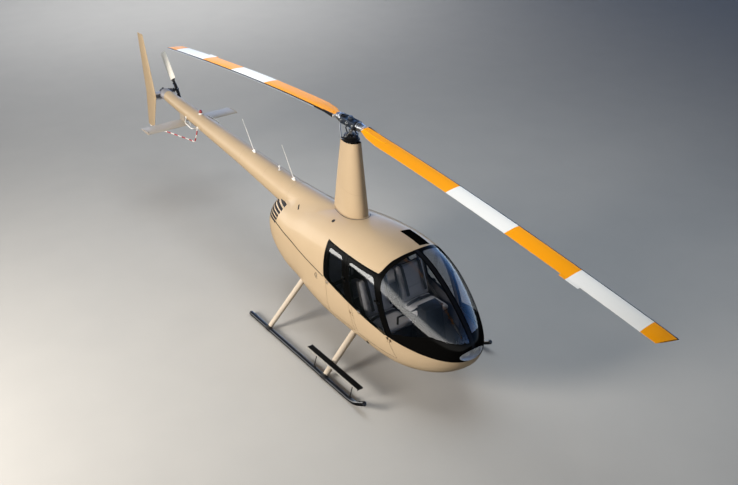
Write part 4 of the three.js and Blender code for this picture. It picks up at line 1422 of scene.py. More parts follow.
shaft = turned_piece(
    "mast_shaft_turned",
    ((0, 0, 2560), (0, 0, 3062)),
    [(0, 26), (470, 26), (474, 31), (498, 31), (502, 26)],
)
ride(coated(shaft, steel), "main_rotor", "steel", "mast_shaft")

# The swashplate: two black rings on the mast with ears and arms for the links, and two folds of a boot
# below them. The pitch links, the drive link and the ring of bolts are bare steel.
plate = turned_piece(
    "swashplate_rings",
    ((0, 0, 2942), (0, 0, 3000)),
    [
        (4, 27), (4, 88), (7, 94), (17, 96), (18, 90), (21, 90), (22, 97), (33, 97), (36, 93),
        (37, 62), (44, 56), (56, 48), (58, 27),
    ],
)
ears = [on_plate(rod("drive_arm", (-84, 26, 2956), (-130, 46, 2956), 9, sides=16))]
links = [on_plate(rod("drive_link", (-128, 44, 2952), (-26, 206, 3100), 8, sides=20))]
for end in (-1, 1):
    ears += [
        on_plate(block("ear", end * 70, end * 112, -20, 20, 2954, 2974, 4)),
        on_plate(block("scissor", -16, 16, end * 60, end * 118, 2958, 2972, 4)),
        on_plate(rod("arm_low", (end * 20, end * 104, 2966), (end * 10, end * 128, 3040), 8, sides=16)),
        on_plate(rod("arm_high", (end * 10, end * 128, 3036), (end * 16, end * 66, 3100), 8, sides=16)),
    ]
    links.append(on_plate(rod("link", (end * 100, end * 4, 2966), (end * 104, end * 150, 3112), 7, sides=20)))
    for low, high in (
        ((end * 99, 0, 2962), (end * 100.6, end * 26, 2988)),
        ((end * 103.4, end * 128, 3090), (end * 104, end * 152, 3114)),
    ):
        links.append(on_plate(rod("rod_end", low, high, 11, 9.5, sides=20, edge=2)))
for z, r in ((2905, 118), (2926, 104)):
    profile = [(0, r - 22), (0, r - 3), (4, r), (12, r), (16, r - 5), (16, r - 22)]
    ears.append(on_plate(turned_piece("boot_ring", ((0, 0, z), (0, 0, z + 16)), profile)))
swash_bolts = on_plate(bolt_ring("swash_bolts", (0, 0, 2978), (0, 0, 1), 77, 12, 4, 5))
swash = joined("swashplate_rings", plate, *ears)
ride(coated(swash, satin_black), "main_rotor", "black_parts", "swashplate")
ride(coated(joined("pitch_links", *links, swash_bolts), steel), "main_rotor", "steel")

# The hub: a forged bar between two cheek plates, in dark enamel, with a teetering bolt and two coning
# bolts of bare steel, under the turned crown of the mast.
hub_paint = Finish("hub_enamel", (0.02, 0.026, 0.036), Metallic=0.2)
hub_paint.mottled((0.012, 0.017, 0.026), (0.03, 0.04, 0.06), (20, 4), 0.22, 0.22, (45, 4))
bar = block("hub_bar", -50, 50, -150, 150, -36, 36, 10, 3)
cheeks = [block("cheek", x, x + 16, -150, 150, -44, 44, 6, 3) for x in (-66, 50)]
crown = turned_piece(
    "crown", ((0, 0, 3180), (0, 0, 3235)), [(0, 40), (22, 40), (26, 34), (38, 34), (44, 30), (55, 24)], 36
)
hub = in_rotor(joined("hub_bar", bar, *cheeks))
ride(coated(joined("hub_forging", hub, on_plate(crown)), hub_paint), "main_rotor", "steel", "rotor_hub")
bolts = []
for y, radius in ((-118, 20), (0, 25), (118, 20)):
    bolts.append(rod("pin", (-86, y, 0), (86, y, 0), radius * 0.55, sides=28, edge=1))
    for side in (-1, 1):
        bolts.append(rod("washer", (side * 66, y, 0), (side * 71, y, 0), radius, sides=32, edge=1))
        bolts.append(rod("nut", (side * 71, y, 0), (side * 84, y, 0), radius * 0.82, sides=6, edge=1.5))
ride(coated(in_rotor(joined("hub_bolts", *bolts)), steel), "main_rotor", "steel")

# The blade grips: turned housings of polished alloy in forks on the hub's bolts, each with a black pitch
# horn and a ribbed black boot.
grips, horns = [], []
for end in (-1, 1):
    grips.append(
        turned_piece(
            "grip",
            ((0, end * 116, 0), (0, end * 280, 0)),
            [
                (0, 30), (0, 42), (8, 48), (22, 56), (46, 62), (74, 63), (96, 57), (112, 48),
                (118, 47), (122, 53), (140, 53), (144, 48), (160, 46), (164, 38),
            ],
        )
    )
    for x in (-1, 1):
        grips.append(block("fork", x * 26, x * 46, end * 84, end * 136, -30, 30, 5))
    horns.append(block("horn", end * 30, end * 112, end * 158, end * 186, -22, 8, 6))
    horns.append(block("horn_tip", end * 92, end * 114, end * 136, end * 186, -24, -2, 5))
    horns.append(
        turned_piece(
            "boot",
            ((0, end * 112, 0), (0, end * 196, 0)),
            [
                (0, 50), (6, 58), (30, 61), (34, 65.5), (38, 62), (42, 66), (46, 62), (50, 64),
                (54, 58), (80, 64.5), (84, 60),
            ],
        )
    )
alloy = Finish("polished_alloy", (0.72, 0.73, 0.75), Metallic=0.9)
alloy.mottled((0.34, 0.35, 0.37), (0.52, 0.52, 0.53), (16, 4), 0.2, 0.2, (60, 3))
ride(coated(in_rotor(joined("blade_grips", *grips)), alloy), "main_rotor", "steel")
ride(coated(in_rotor(joined("pitch_horns", *horns)), satin_black), "main_rotor", "black_parts")

# The two main blades: bonded metal with a steel leading edge, painted in yellow and white bands. They
# droop at rest, and each has a trim tab on its trailing edge and a doubler round its bolted root.
BLADE = [
    (280.6, 84, 146, 38),
    (487, 78, 217, 33),
    (720, 78, 254, 31),
    (4880, 78, 254, 30),
    (5030, 78, 254, 16),
]
YELLOW, WHITE = (0.95, 0.36, 0.004), (0.86, 0.87, 0.87)
BANDS = ((2.0, 2.93), (3.82, 4.73))
places = [
    280.6, 320, 365, 410, 450, 487, 530, 575, 625, 675, 720, *np.linspace(800, 4840, 44), 4880,
    4930, 4975, 5010, 5030,
]


def droop(r):
    return 433 * (max(r - 280, 0) / 4750) ** 1.45


def blade_finish(name, end):
    """Yellow with two white bands, worn bare along the leading edge, a black strip of painted shade on the
    edge, and a plain metal root.
    """
    paint = Finish(name, YELLOW, Coat_Weight=0.0, Coat_Roughness=0.08, Specular_IOR_Level=0.05)
    x, y, _ = paint.axes()
    out = abs(y * cos(ROTOR_TURN) - x * sin(ROTOR_TURN))
    across = (x * cos(ROTOR_TURN) + y * sin(ROTOR_TURN)) * -end
    behind_edge = 0.078 - across
    inner, outer = (out.band((low + high) / 2, (high - low) / 2) for low, high in BANDS)
    white = inner.most(outer)
    flow = paint.noise(3, 5, (1, 0.15, 1))
    painted = paint.blend(white, YELLOW, WHITE)
    painted = paint.blend(flow.rises(0.5, 0.3) * 0.10, painted, (0.30, 0.22, 0.12))
    worn = (behind_edge + paint.noise(55, 4) * 0.004 < 0.008) * (out > 0.72)
    # Near-black over the first 25 mm behind the leading edge: painted shade of the edge's face.
    painted = paint.blend(behind_edge < 0.025, painted, (0.012, 0.012, 0.012))
    painted = paint.blend(out < 0.292, painted, (0.62, 0.62, 0.62))
    return paint.feed(
        Base_Color=paint.blend(worn, painted, (0.50, 0.51, 0.53)),
        Metallic=worn * 0.85,
        Roughness=0.26 + flow * 0.12 + worn * 0.05,
    )


for name, end in (("a", -1), ("b", 1)):
    rings = []
    for r, lead, chord, thick in blended(BLADE, places):
        cut = 0.35 * min(max((r - 4880) / 150, 0), 1)

        def spot(u, v):
            reach = r - u * cut
            return at(-end * (lead - u), end * reach, v - droop(reach))

        rings.append(foil_ring(spot, chord, thick, 21))
    blade = finished(skin(f"main_blade_{name}_skin", rings), angle=40)
    tab = []
    for r in np.linspace(3750, 4010, 5):
        spots = ((252, 1.2), (289, 0.8), (289, -0.8), (252, -1.2))
        tab.append([at(-end * (78 - u), end * r, v - droop(r)) for u, v in spots])
    doubler = []
    for r, width in ((288, 0.70), (420, 0.62), (640, 0.42), (760, 0.30)):
        row = blended(BLADE, [r])[0]
        _, lead, chord, thick = row
        middle_u, half = chord * 0.36, chord * width * 0.5
        top = thick * 0.5 + 2.2
        spots = (
            (middle_u - half, 0), (middle_u - half, top - 3), (middle_u - half + 4, top),
            (middle_u + half - 4, top - 1), (middle_u + half, top - 5), (middle_u + half, -top + 5),
            (middle_u + half - 4, -top + 1), (middle_u - half + 4, -top), (middle_u - half, -top + 3),
        )
        doubler.append([at(-end * (lead - u), end * r, v - droop(r)) for u, v in spots])
    root_bolts = [
        rod("bolt", (0, end * r, -25 - droop(r)), (0, end * r, 25 - droop(r)), 9, sides=6, edge=1)
        for r in (325, 375)
    ]
    blade = joined(
        f"main_blade_{name}_skin",
        blade,
        finished(skin("tab", tab)),
        finished(skin("doubler", doubler)),
        *root_bolts,
    )
    finish = blade_finish(f"blade_paint_{name}", end)
    ride(coated(in_rotor(blade), finish), "main_rotor", "blade_yellow", f"main_blade_{name}")

# The tail rotor: a forged hub on the output shaft, satin black, with links and bolts of bare steel, and
# two white blades of bonded sheet, black at their roots.
TAIL_HUB, TAIL_ANGLE = (257, 5890, 1890), radians(53.5)
TAIL_COS, TAIL_SIN = cos(radians(-22)), sin(radians(-22))
in_tail = (
    Matrix.Translation(at(*TAIL_HUB)) @ Matrix.Rotation(TAIL_ANGLE, 4, "X") @ from_mast
)
parts = [
    turned_piece(
        "shaft",
        ((-100, 0, 0), (36, 0, 0)),
        [
            (0, 18), (52, 18), (54, 24), (66, 24), (68, 20), (116, 20), (118, 26), (128, 26),
            (130, 16), (136, 14),
        ],
        32,
    ),
    block("yoke", -22, 22, -78, 78, -30, 30, 8, 3),
    turned_piece("pitch_ring", ((-72, 0, 0), (-58, 0, 0)), [(0, 38), (3, 42), (11, 42), (14, 38)], 36),
]
metal = [rod("cross_bolt", (0, 0, -42), (0, 0, 42), 10, sides=6, edge=1)]
for end in (-1, 1):
    parts.append(
        turned_piece(
            "root",
            ((0, end * 66, 0), (0, end * 176, 0)),
            [(0, 22), (6, 28), (40, 28), (44, 24), (96, 22), (104, 14)],
            28,
        )
    )
    parts.append(block("horn", -52, -16, end * 92, end * 116, end * 16, end * 40, 4))
    metal.append(rod("pitch_link", (-62, end * 34, end * 22), (-46, end * 106, end * 34), 5, sides=14))
    metal.append(rod("hinge_bolt", (-30, end * 84, 0), (30, end * 84, 0), 7, sides=6, edge=1))
yoke = turned_about(joined("tail_rotor_yoke", *parts), in_tail)
ride(coated(yoke, satin_black), "tail_rotor", "black_parts", "tail_rotor_hub")
ride(coated(turned_about(joined("tail_rotor_links", *metal), in_tail), steel), "tail_rotor", "steel")
tail_white = Finish("tail_blade_white", (0.82, 0.81, 0.76))
_, y, z = tail_white.axes()
aft, above = abs(y - TAIL_HUB[1] / 1000), abs(z - TAIL_HUB[2] / 1000)
reach = (aft * aft + above * above).root()
tail_white.feed(
    Base_Color=tail_white.blend(
        reach < 0.205,
        tail_white.blend(tail_white.noise(9, 5), (0.72, 0.71, 0.66), (0.88, 0.87, 0.82)),
        (0.02, 0.02, 0.02),
    ),
    Roughness=0.3 + tail_white.noise(30, 3) * 0.15,
)
for name, end in (("a", 1), ("b", -1)):
    rows = [(150.4, 58, 24), (170, 76, 22), (215, 130, 18), (677, 130, 14), (724, 124, 11), (737, 104, 8)]
    rings = [
        foil_ring(
            lambda u, v: at(
                v * TAIL_COS - (u - chord / 2) * TAIL_SIN,
                end * r,
                end * (v * TAIL_SIN + (u - chord / 2) * TAIL_COS),
            ),
            chord,
            thick,
            19,
        )
        for r, chord, thick in blended(
            rows, [150.4, 160, 170, 185, 200, 215, 330, 450, 570, 677, 700, 716, 728, 734, 737]
        )
    ]
    blade = turned_about(finished(skin(f"tail_blade_{name}_skin", rings), angle=40), in_tail)
    ride(coated(blade, tail_white), "tail_rotor", "white_parts", f"tail_blade_{name}")

# Landing gear: four cream legs in black cuffs with saddles, two black skid tubes, rubbed bare underneath,
# with end plugs, and over each skid a flat step with a strip of grit, on two thin posts.
SKID_X, SKID_RADIUS = 1090, 32
LEG_SIZES = {
    "front_leg": lambda reach: [(26, 30), (34, 38), (60, 42), (reach * 0.5, 45), (reach, 47)],
    "rear_leg": lambda reach: [(26, 28), (34, 34), (60, 36), (reach * 0.5, 38), (reach, 41)],
}
LEGS = (("front_leg", -826, -740, 550, 457), ("rear_leg", 598, 544, 550, 624))
TUBE_END = [(0, 30), (4, 31), (9, 28), (13, 18)]


def on_skid(side, y, z=SKID_RADIUS):
    """A place in the middle plane of a skid."""
    return Vector((side * SKID_X, y, z))


leg_paint = Finish("leg_paint", CREAM, Roughness=0.4, Specular_IOR_Level=0.2)
leg_paint.feed(Base_Color=weathered(leg_paint, (0.56, 0.49, 0.40), (0.62, 0.55, 0.46)))
coat = {"Coat_Weight": 0.7, "Coat_Roughness": 0.08, "Coat_IOR": 1.7}
worn_black = Finish("skid_paint", (0.016, 0.016, 0.018), Specular_IOR_Level=0.1, **coat)
_, _, z = worn_black.axes()
scuff = worn_black.noise(60, 6, (1, 0.12, 1), 0.65)
under = worn_black.ramp(z, 0.016, 0.002)
bare = scuff.rises(0.60, 0.08) * under
worn_black.feed(
    Base_Color=worn_black.blend(bare, (0.005, 0.005, 0.006), (0.35, 0.34, 0.33)),
    Metallic=bare * 0.9,
    Roughness=0.26 + scuff * 0.2,
)
# A pale strip along each step's outer edge: its colour is a painted highlight of that edge.
step_edge_highlight = Finish("painted_edge_highlight", (0.3, 0.3, 0.29), Roughness=0.4)
step_edge_highlight.feed(
    Base_Color=step_edge_highlight.blend(step_edge_highlight.noise(40, 4), (0.26, 0.26, 0.25), (0.40, 0.40, 0.38))
)
for suffix, side in SIDES.items():
    for name, foot_y, top_y, top_x, top_z in LEGS:
        foot = on_skid(side, foot_y, SKID_RADIUS + 10)
        top = Vector((side * top_x, top_y, top_z))
        along = (top - foot).normalized()
        reach = (top - foot).length + 90
        leg = turned_piece(f"{name}_tube_{suffix}", (foot, foot + along * reach), LEG_SIZES[name](reach))
        carve(leg, pod(-0.4, "pod_block"))
        ride(coated(finished(leg), leg_paint), "airframe", "paint", f"{name}_{suffix}")
        cuff = turned_piece(
            f"{name}_cuff_{suffix}",
            (foot, foot + along * 84),
            [(0, 34), (6, 37), (24, 37), (28, 34), (30, 20)],
        )
        saddle = rod("saddle", on_skid(side, foot_y - 62), on_skid(side, foot_y + 62), 36.5, edge=3)
        for piece in (saddle, cuff):
            low, high = on_skid(side, foot_y - 80), on_skid(side, foot_y + 80)
            carve(piece, rod("bore", low, high, SKID_RADIUS + 0.3, sides=48))
        carve(saddle, slab(side * SKID_X - 60, side * SKID_X + 60, foot_y - 90, foot_y + 90, -30, 14))
        ride(
            coated(joined(f"{name}_cuff_{suffix}", finished(cuff), finished(saddle)), satin_black),
            "airframe",
            "black_parts",
        )
    bend, nose = on_skid(side, -1500), on_skid(side, -1727, 172)
    route = [on_skid(side, 1107), bend, nose]
    skid = bent_tube(f"skid_tube_{suffix}", route, SKID_RADIUS, 150, sides=40, steps=14)
    plug = turned_piece("plug", (on_skid(side, 1105), on_skid(side, 1119)), TUBE_END, 36)
    way = (nose - bend).normalized()
    tip = turned_piece("tip", (nose - way * 2, nose + way * 12), TUBE_END, 36)
    ride(coated(skid, worn_black), "airframe", "black_parts", f"skid_{suffix}")
    ride(coated(joined(f"skid_plugs_{suffix}", plug, tip), satin_black), "airframe", "black_parts")

    inner, outer = side * 950, side * 1045
    tread = block(f"step_tread_{suffix}", inner, outer, -1510, -345, 212, 232, 3)
    carve(tread, slab(min(inner, outer) + 5, max(inner, outer) - 5, -1505, -350, 205, 227))
    posts = []
    for y in (-1400, -575):
        posts.append(rod("post", (side * 1034, y, 226), (side * 1084, y, 66), 6.5, sides=20))
        posts.append(block("foot", side * 1068, side * 1098, y - 24, y + 24, 58, 70, 4))
        posts.append(block("top", side * 1012, side * 1042, y - 18, y + 18, 218, 227, 3))
    tread = joined(f"step_tread_{suffix}", finished(tread, 0), *posts)
    ride(coated(tread, satin_black), "airframe", "black_parts", f"step_{suffix}")
    # The pale strip on the step's outer edge carries the painted highlight.
    highlight_strip = block("highlight_strip", outer - side * 7, outer + side * 1.5, -1509, -346, 216, 234, 1)
    strip = block("grip_strip", side * 962, side * 1034, -1500, -355, 231.5, 233.2, 0.6)
    grit = Finish(f"step_grit_{suffix}", (0.03, 0.03, 0.03), Roughness=0.95, Specular_IOR_Level=0.1)
    grit.feed(Base_Color=grit.blend(grit.noise(500, 3), (0.001, 0.001, 0.001), (0.008, 0.008, 0.008)))
    grit.relief(grit.noise(600, 2), 0.0008)
    ride(coated(strip, grit), "airframe", "black_parts")
    strip.name = f"step_grit_{suffix}"
    ride(coated(highlight_strip, step_edge_highlight), "airframe", "steel")
    highlight_strip.name = f"step_edging_{suffix}"

# Two white whip antennas, each a thin turned rod that leans back on a streamlined foot, set on top of the
# cone.
for name, y, top, height in (("antenna_front", 1488, 1766, 450), ("antenna_rear", 2648, 1820, 430)):
    foot = skin(
        "foot",
        [
            foil_ring(lambda u, v: at(v, y - 46 + u + (1 - k) * 20, top + h), 112 * k, 36 * k, 15)
            for k, h in ((1.0, -14), (1.0, 2), (0.86, 10), (0.62, 15), (0.42, 24), (0.30, 44))
        ],
    )
    carve(foot, cone("cone", y - 200, y + 200, -0.4, rings=6))
    whip = turned_piece(
        "whip",
        ((0, y - 4, top + 18), (0, y + 280, top + height)),
        [(0, 8), (40, 6.5), (300, 4.2), (520, 3.2), (528, 4.6), (534, 2.0)],
        20,
    )
    ride(coated(joined(f"{name}_whip", finished(foot), whip), white_paint), "airframe", "white_parts", name)
# A small light on a turned white post, and the red beacon, a ridged plastic dome in a white socket. Both
# stand on top of the cone.
post_y, post_top = 1885, cone_row(1885)[0]
post = turned_piece(
    "light_post",
    ((0, post_y, post_top - 6), (0, post_y, 1852)),
    [(0, 22), (8, 22), (11, 12), (50, 9), (54, 17), (66, 19), (74, 15), (80, 6)],
    28,
)
ride(coated(post, white_paint), "airframe", "white_parts")
beacon_top = cone_row(4440)[0]
socket = turned_piece(
    "beacon_socket",
    ((0, 4440, beacon_top - 8), (0, 4440, beacon_top + 22)),
    [(0, 40), (12, 40), (16, 34), (26, 34), (30, 31)],
    40,
)
dome = turned_piece(
    "beacon_dome",
    ((0, 4440, beacon_top + 22), (0, 4440, 2000)),
    [(0, 30), (2, 31), (26, 30), (40, 25), (50, 15), (54, 5)],
    40,
)
red_lens = Finish("red_lens", (0.22, 0.008, 0.008), Roughness=0.08, Coat_Weight=1.0)
_, _, z = red_lens.axes()
# The ridges' crests are coloured a lighter red: painted sheen along them.
ridges = (z / 0.004).saw()
red_lens.feed(Base_Color=red_lens.blend(ridges * 2, (0.20, 0.006, 0.006), (0.34, 0.02, 0.015)))
red_lens.relief(ridges, 0.0006)
ride(coated(dome, red_lens), "airframe", "red_lens", "beacon")
ride(coated(socket, white_paint), "airframe", "white_parts")

# The cabin floor is a moulded tray inside the belly, under a short dark grey carpet that runs from the
# pedals to the rear seats.
carpet = Finish("floor_carpet", (0.05, 0.05, 0.055), Roughness=0.95)
carpet.feed(Base_Color=carpet.blend(carpet.noise(350, 3), (0.022, 0.022, 0.026), (0.075, 0.075, 0.082)))
carpet.relief(carpet.noise(420, 2), 0.0012)
tray = pod(36, "cabin_floor_tray")
carve(tray, slab(-WIDE, WIDE, -2250, REAR_POST(598) + 20, 440, 575), "INTERSECT")
ride(coated(finished(tray), carpet), "airframe", "paint")

# Four seats in grey leather: a moulded box below, a sewn cushion on it and a sewn back pad. Each pad is
# crowned, drawn in between its corners, piped round its edge and stitched in channels.
leather = Finish("grey_leather", (0.66, 0.67, 0.73))
cells = leather.node(
    "ShaderNodeTexVoronoi", {"feature": "DISTANCE_TO_EDGE"}, {"Vector": leather.place(), "Scale": 320.0}
)
leather.mottled((0.54, 0.55, 0.60), (0.70, 0.71, 0.77), (7, 5), 0.42, 0.22, (40, 4))
leather.relief(cells.least(0.08) * 8, 0.0004)
seat_shell = Finish("seat_moulding", (0.10, 0.10, 0.11))
seat_shell.mottled((0.075, 0.075, 0.085), (0.13, 0.13, 0.14), (20, 4), 0.5, 0.25, (60, 3))
webbing = Finish("belt_webbing", (0.03, 0.03, 0.034), Roughness=0.8)
_, y, z = webbing.axes()
weave = ((z + y) / 0.0032).saw()
webbing.feed(Base_Color=webbing.blend(weave * 2, (0.016, 0.016, 0.018), (0.05, 0.05, 0.054)))
webbing.relief(weave, 0.0006)


UP, PIPING_STEPS = Vector((0, 0, 1)), 96


def pad(name, width, length, thick, channels, matrix):
    """A stuffed pad, flat below: a cube cut fine, swelled, drawn in and stitched, then set in place."""
    start()
    bpy.ops.mesh.primitive_cube_add(size=2)
    piece = bpy.context.object
    piece.name = piece.data.name = name
    bpy.ops.object.mode_set(mode="EDIT")
    bpy.ops.mesh.select_all(action="SELECT")
    bpy.ops.mesh.subdivide(number_cuts=39)
    bpy.ops.object.mode_set(mode="OBJECT")
    count = len(piece.data.vertices)
    flat = np.empty(count * 3)
    piece.data.vertices.foreach_get("co", flat)
    a, b, c = flat.reshape(-1, 3).T
    fall = ((1 - np.abs(a) ** 5).clip(0) ** 0.42) * ((1 - np.abs(b) ** 5).clip(0) ** 0.42)
    pull = 1 - 0.035 * (1 - b**2) * np.abs(a) ** 3
    shorten = 1 - 0.03 * (1 - a**2) * np.abs(b) ** 3
    corner = 1 - 0.055 * (np.abs(a) * np.abs(b)) ** 6
    up = np.where(c > 0, c * (0.38 + 0.62 * fall), c * (0.30 + 0.12 * fall))
    groove = sum(np.exp(-(((b - at_b) / 0.022) ** 2)) for at_b in channels)
    up = up - np.where(c > 0.2, 0.17 * groove * (0.4 + 0.6 * fall), 0)
    waist = np.exp(-((c / 0.16) ** 2)) * 0.012
    swell = 1 + waist + 0.012 * (1 - c**2)
    ripple = 0.010 * np.sin(9 * a + 2.0 * np.sin(5 * b)) * fall * (c > 0.2)
    points = np.stack(
        [
            a * width / 2 * pull * corner * swell,
            b * length / 2 * shorten * corner * swell,
            (up + ripple) * thick / 2,
        ],
        1,
    )
    piece.data.vertices.foreach_set("co", (points / 1000).ravel())
    pick(piece)
    smooth = piece.modifiers.new("soft", "SMOOTH")
    smooth.factor, smooth.iterations = 0.5, 2
    bpy.ops.object.modifier_apply(modifier=smooth.name)
    piping = []
    for t in turns(PIPING_STEPS):
        power = (abs(cos(t)) ** 7 + abs(sin(t)) ** 7) ** (-1 / 7)
        a1, b1 = cos(t) * power, sin(t) * power
        piping.append(
            Vector(
                (
                    a1 * width / 2 * (1 - 0.03 * (1 - b1**2)),
                    b1 * length / 2 * (1 - 0.026 * (1 - a1**2)),
                    thick * 0.11,
                )
            )
        )
    rim = []
    for i, spot in enumerate(piping):
        along = (piping[(i + 1) % PIPING_STEPS] - piping[i - 1]).normalized()
        out = along.cross(UP)
        ring = [spot + (out * cos(q) + UP * sin(q)) * 4.2 for q in turns(8)]
        rim.append([p / 1000 for p in ring])
    cord = skin("piping", rim + [rim[0]], ends=False)
    pick(cord)
    bpy.ops.object.mode_set(mode="EDIT")
    bpy.ops.mesh.select_all(action="SELECT")
    bpy.ops.mesh.remove_doubles(threshold=1e-6)
    bpy.ops.mesh.normals_make_consistent(inside=False)
    bpy.ops.object.mode_set(mode="OBJECT")
    whole = joined(name, piece, cord)
    turned_about(whole, matrix)
    bpy.ops.object.shade_smooth()
    return coated(whole, leather)


def seat_pad(name, size, channels, spot, lean, *stands_for):
    """A pad with its underside's middle at a spot, its length leaning back by an angle in degrees."""
    place = Matrix.Translation(at(*spot)) @ Matrix.Rotation(radians(lean), 4, "X")
    piece = pad(name, *size, channels, place)
    ride(piece, "airframe", "leather", *stands_for)


STRAP_ROWS = ((-838, 1350), (-905, 1335), (-990, 1150), (-1070, 960))


for suffix, side in SIDES.items():
    middle = side * 305
    low = block(f"front_seat_box_{suffix}", middle - 233, middle + 233, -1440, -968, 576, 800, 14, 3)
    carve(low, pod(47, "cabin_room"), "INTERSECT")
    back = side_cut(
        rounded([(-1000, 790), (-955, 790), (-803, 1318), (-822, 1334), (-856, 1330)], [8, 8, 8, 8, 14]),
        middle - 226,
        middle + 226,
    )
    moulding = joined(f"front_seat_box_{suffix}", low, finished(back, 8, steps=3))
    ride(coated(moulding, seat_shell), "airframe", "leather")
    cushion, back = f"front_seat_cushion_{suffix}", f"front_seat_back_{suffix}"
    seat = f"front_seat_{suffix}"
    seat_pad(cushion, (462, 455, 118), (-0.36, 0.36), (middle, -1226, 824), -2.5, seat)
    seat_pad(back, (450, 500, 96), (-0.30, 0.42), (middle, -937, 1098), 70)

    middle = side * 275
    low = block(f"rear_seat_box_{suffix}", middle - 218, middle + 218, -548, -20, 576, 845, 14, 3)
    ride(coated(low, seat_shell), "airframe", "leather")
    cushion, back = f"rear_seat_cushion_{suffix}", f"rear_seat_back_{suffix}"
    seat = f"rear_seat_{suffix}"
    seat_pad(cushion, (440, 400, 104), (-0.34, 0.34), (middle, -355, 866), -2, seat)
    seat_pad(back, (430, 500, 92), (-0.30, 0.42), (middle, -62, 1150), 85)

    # Lap and shoulder belts of flat black webbing, laid over the front seats, with a plain buckle in the
    # middle of each lap belt.
    straps = []
    for x0, x1 in ((side * 470, side * 424), (side * 170, side * 124)):
        rings = [
            [at(x0, y, z), at(x1, y, z), at(x1, y - 2.4, z + 1), at(x0, y - 2.4, z + 1)]
            for y, z in STRAP_ROWS
        ]
        straps.append(finished(skin("strap", rings)))
    lap = [
        [
            at(side * x, -1095, z), at(side * x, -1140, z - 2), at(side * x, -1140, z + 1),
            at(side * x, -1095, z + 3),
        ]
        for x, z in ((80, 858), (150, 886), (305, 897), (460, 886), (532, 858))
    ]
    straps.append(finished(skin("lap_belt", lap)))
    straps.append(block("buckle", side * 305 - 24, side * 305 + 24, -1148, -1088, 892, 906, 4))
    ride(coated(joined(f"belts_{suffix}", *straps), webbing), "airframe", "black_parts")

# The console stands in the middle, between the front footwells: a black moulded post with a glare shield
# and a plate of round dials, each with a bezel, pale tick marks and a needle.
post_body = side_cut(
    rounded(
        [(-1890, 576), (-1632, 576), (-1568, 900), (-1606, 1160), (-1752, 1206), (-1792, 960)],
        [10, 10, 40, 20, 30, 60],
    ),
    -142,
    142,
)
post_body = joined(
    "instrument_console_post",
    finished(post_body, 10, steps=3),
    block("glare_shield", -150, 150, -1764, -1590, 1192, 1206, 6, 3),
)
ride(coated(post_body, satin_black), "airframe", "black_parts", "instrument_console")
bezels, faces, marks = [], [], []
tilt = Vector((-1606 + 1568, 1160 - 900)).normalized()
away = Vector((0, tilt.y, -tilt.x))


def on_dial(angle):
    """A direction across the face of the dials."""
    return Vector((1, 0, 0)) * cos(angle) + Vector((0, tilt.x, tilt.y)) * sin(angle)


radius = 36
for row, along in enumerate((38, 118, 198)):
    for x in (-86, 0, 86):
        centre = Vector((x, -1571 + tilt.x * along, 915 + tilt.y * along))
        tip = centre + away * 7
        bezels.append(
            turned_piece(
                "bezel", (centre, tip), [(0, radius), (6, radius), (7, radius - 5), (4, radius - 7)], 32
            )
        )
        faces.append(rod("face", centre, centre + away * 3.6, radius - 6, sides=32))
        for k in range(10):
            way, spot = on_dial(radians(36 * k + 20 * row)), centre + away * 4
            marks.append(rod("tick", spot + way * (radius - 13), spot + way * (radius - 8), 0.9, sides=4))
        spot = centre + away * 4.4
        needle = spot + on_dial(1.1 + row + x) * (radius - 14)
        marks.append(rod("needle", spot, needle, 1.4, 0.7, sides=6))
ride(coated(joined("dial_bezels", *bezels), satin_black), "airframe", "black_parts")
ride(coated(joined("dial_faces", *faces), rubber), "airframe", "black_parts")
ride(coated(joined("dial_marks", *marks), white_paint), "airframe", "white_parts")

# The cyclic is one stick between the seats with a bar across its top and a grip hanging at each end,
# beside each seat a collective lever, and ahead a pair of pedals: black tube with rubber grips.
stick = joined(
    "cyclic_stick_tubes",
    block("cyclic_plate", -44, 44, -1504, -1416, 576, 582, 2),
    bent_tube("cyclic_tube", [(0, -1460, 580), (0, -1518, 760), (0, -1432, 1008)], 13, 60),
    rod("cyclic_bar", (-334, -1430, 1010), (334, -1430, 1010), 12, edge=2),
    turned_piece(
        "cyclic_hub", ((-26, -1430, 1010), (26, -1430, 1010)), [(0, 17), (4, 20), (48, 20), (52, 17)], 28
    ),
)
ride(coated(stick, satin_black), "airframe", "black_parts", "cyclic_stick")
handles = []
for side in (-1, 1):
    handles.append(
        turned_piece(
            "grip",
            ((side * 330, -1430, 902), (side * 330, -1432, 1020)),
            [
                (0, 12), (4, 15), (24, 15.5), (28, 14), (50, 15.5), (54, 14), (76, 15.5), (80, 14),
                (104, 15.5), (118, 11),
            ],
            28,
        )
    )
    handles.append(
        turned_piece(
            "lever_grip",
            ((side * 40, -1332, 792), (side * 40, -1420, 828)),
            [(0, 13), (6, 17), (100, 17), (112, 19), (118, 13)],
            24,
        )
    )
    for x in (side * 240, side * 370):
        handles.append(block("pedal", x - 36, x + 36, -1938, -1918, 640, 732, 6, 3))
ride(coated(joined("control_grips", *handles), rubber), "airframe", "black_parts")
levers = []
for side in (-1, 1):
    levers.append(rod("lever", (side * 40, -1030, 668), (side * 40, -1370, 808), 10, sides=20))
    for x in (side * 240, side * 370):
        levers.append(
            bent_tube("pedal_arm", [(x, -1928, 690), (x, -1950, 620), (x, -1890, 578)], 8, 30, sides=14)
        )
ride(coated(joined("control_levers", *levers), steel), "airframe", "steel")

# The two landing lamps sit in a silver bowl in the nose, behind a clear cover that follows the skin. Each
# has a turned rim and a lens with fine ridges.
def skin_patch(name, outer, inner, cutter):
    """What a cutter keeps of a layer of the pod between two depths."""
    layer = carve(pod(outer, name), pod(inner, "core"))
    return carve(layer, cutter, "INTERSECT")


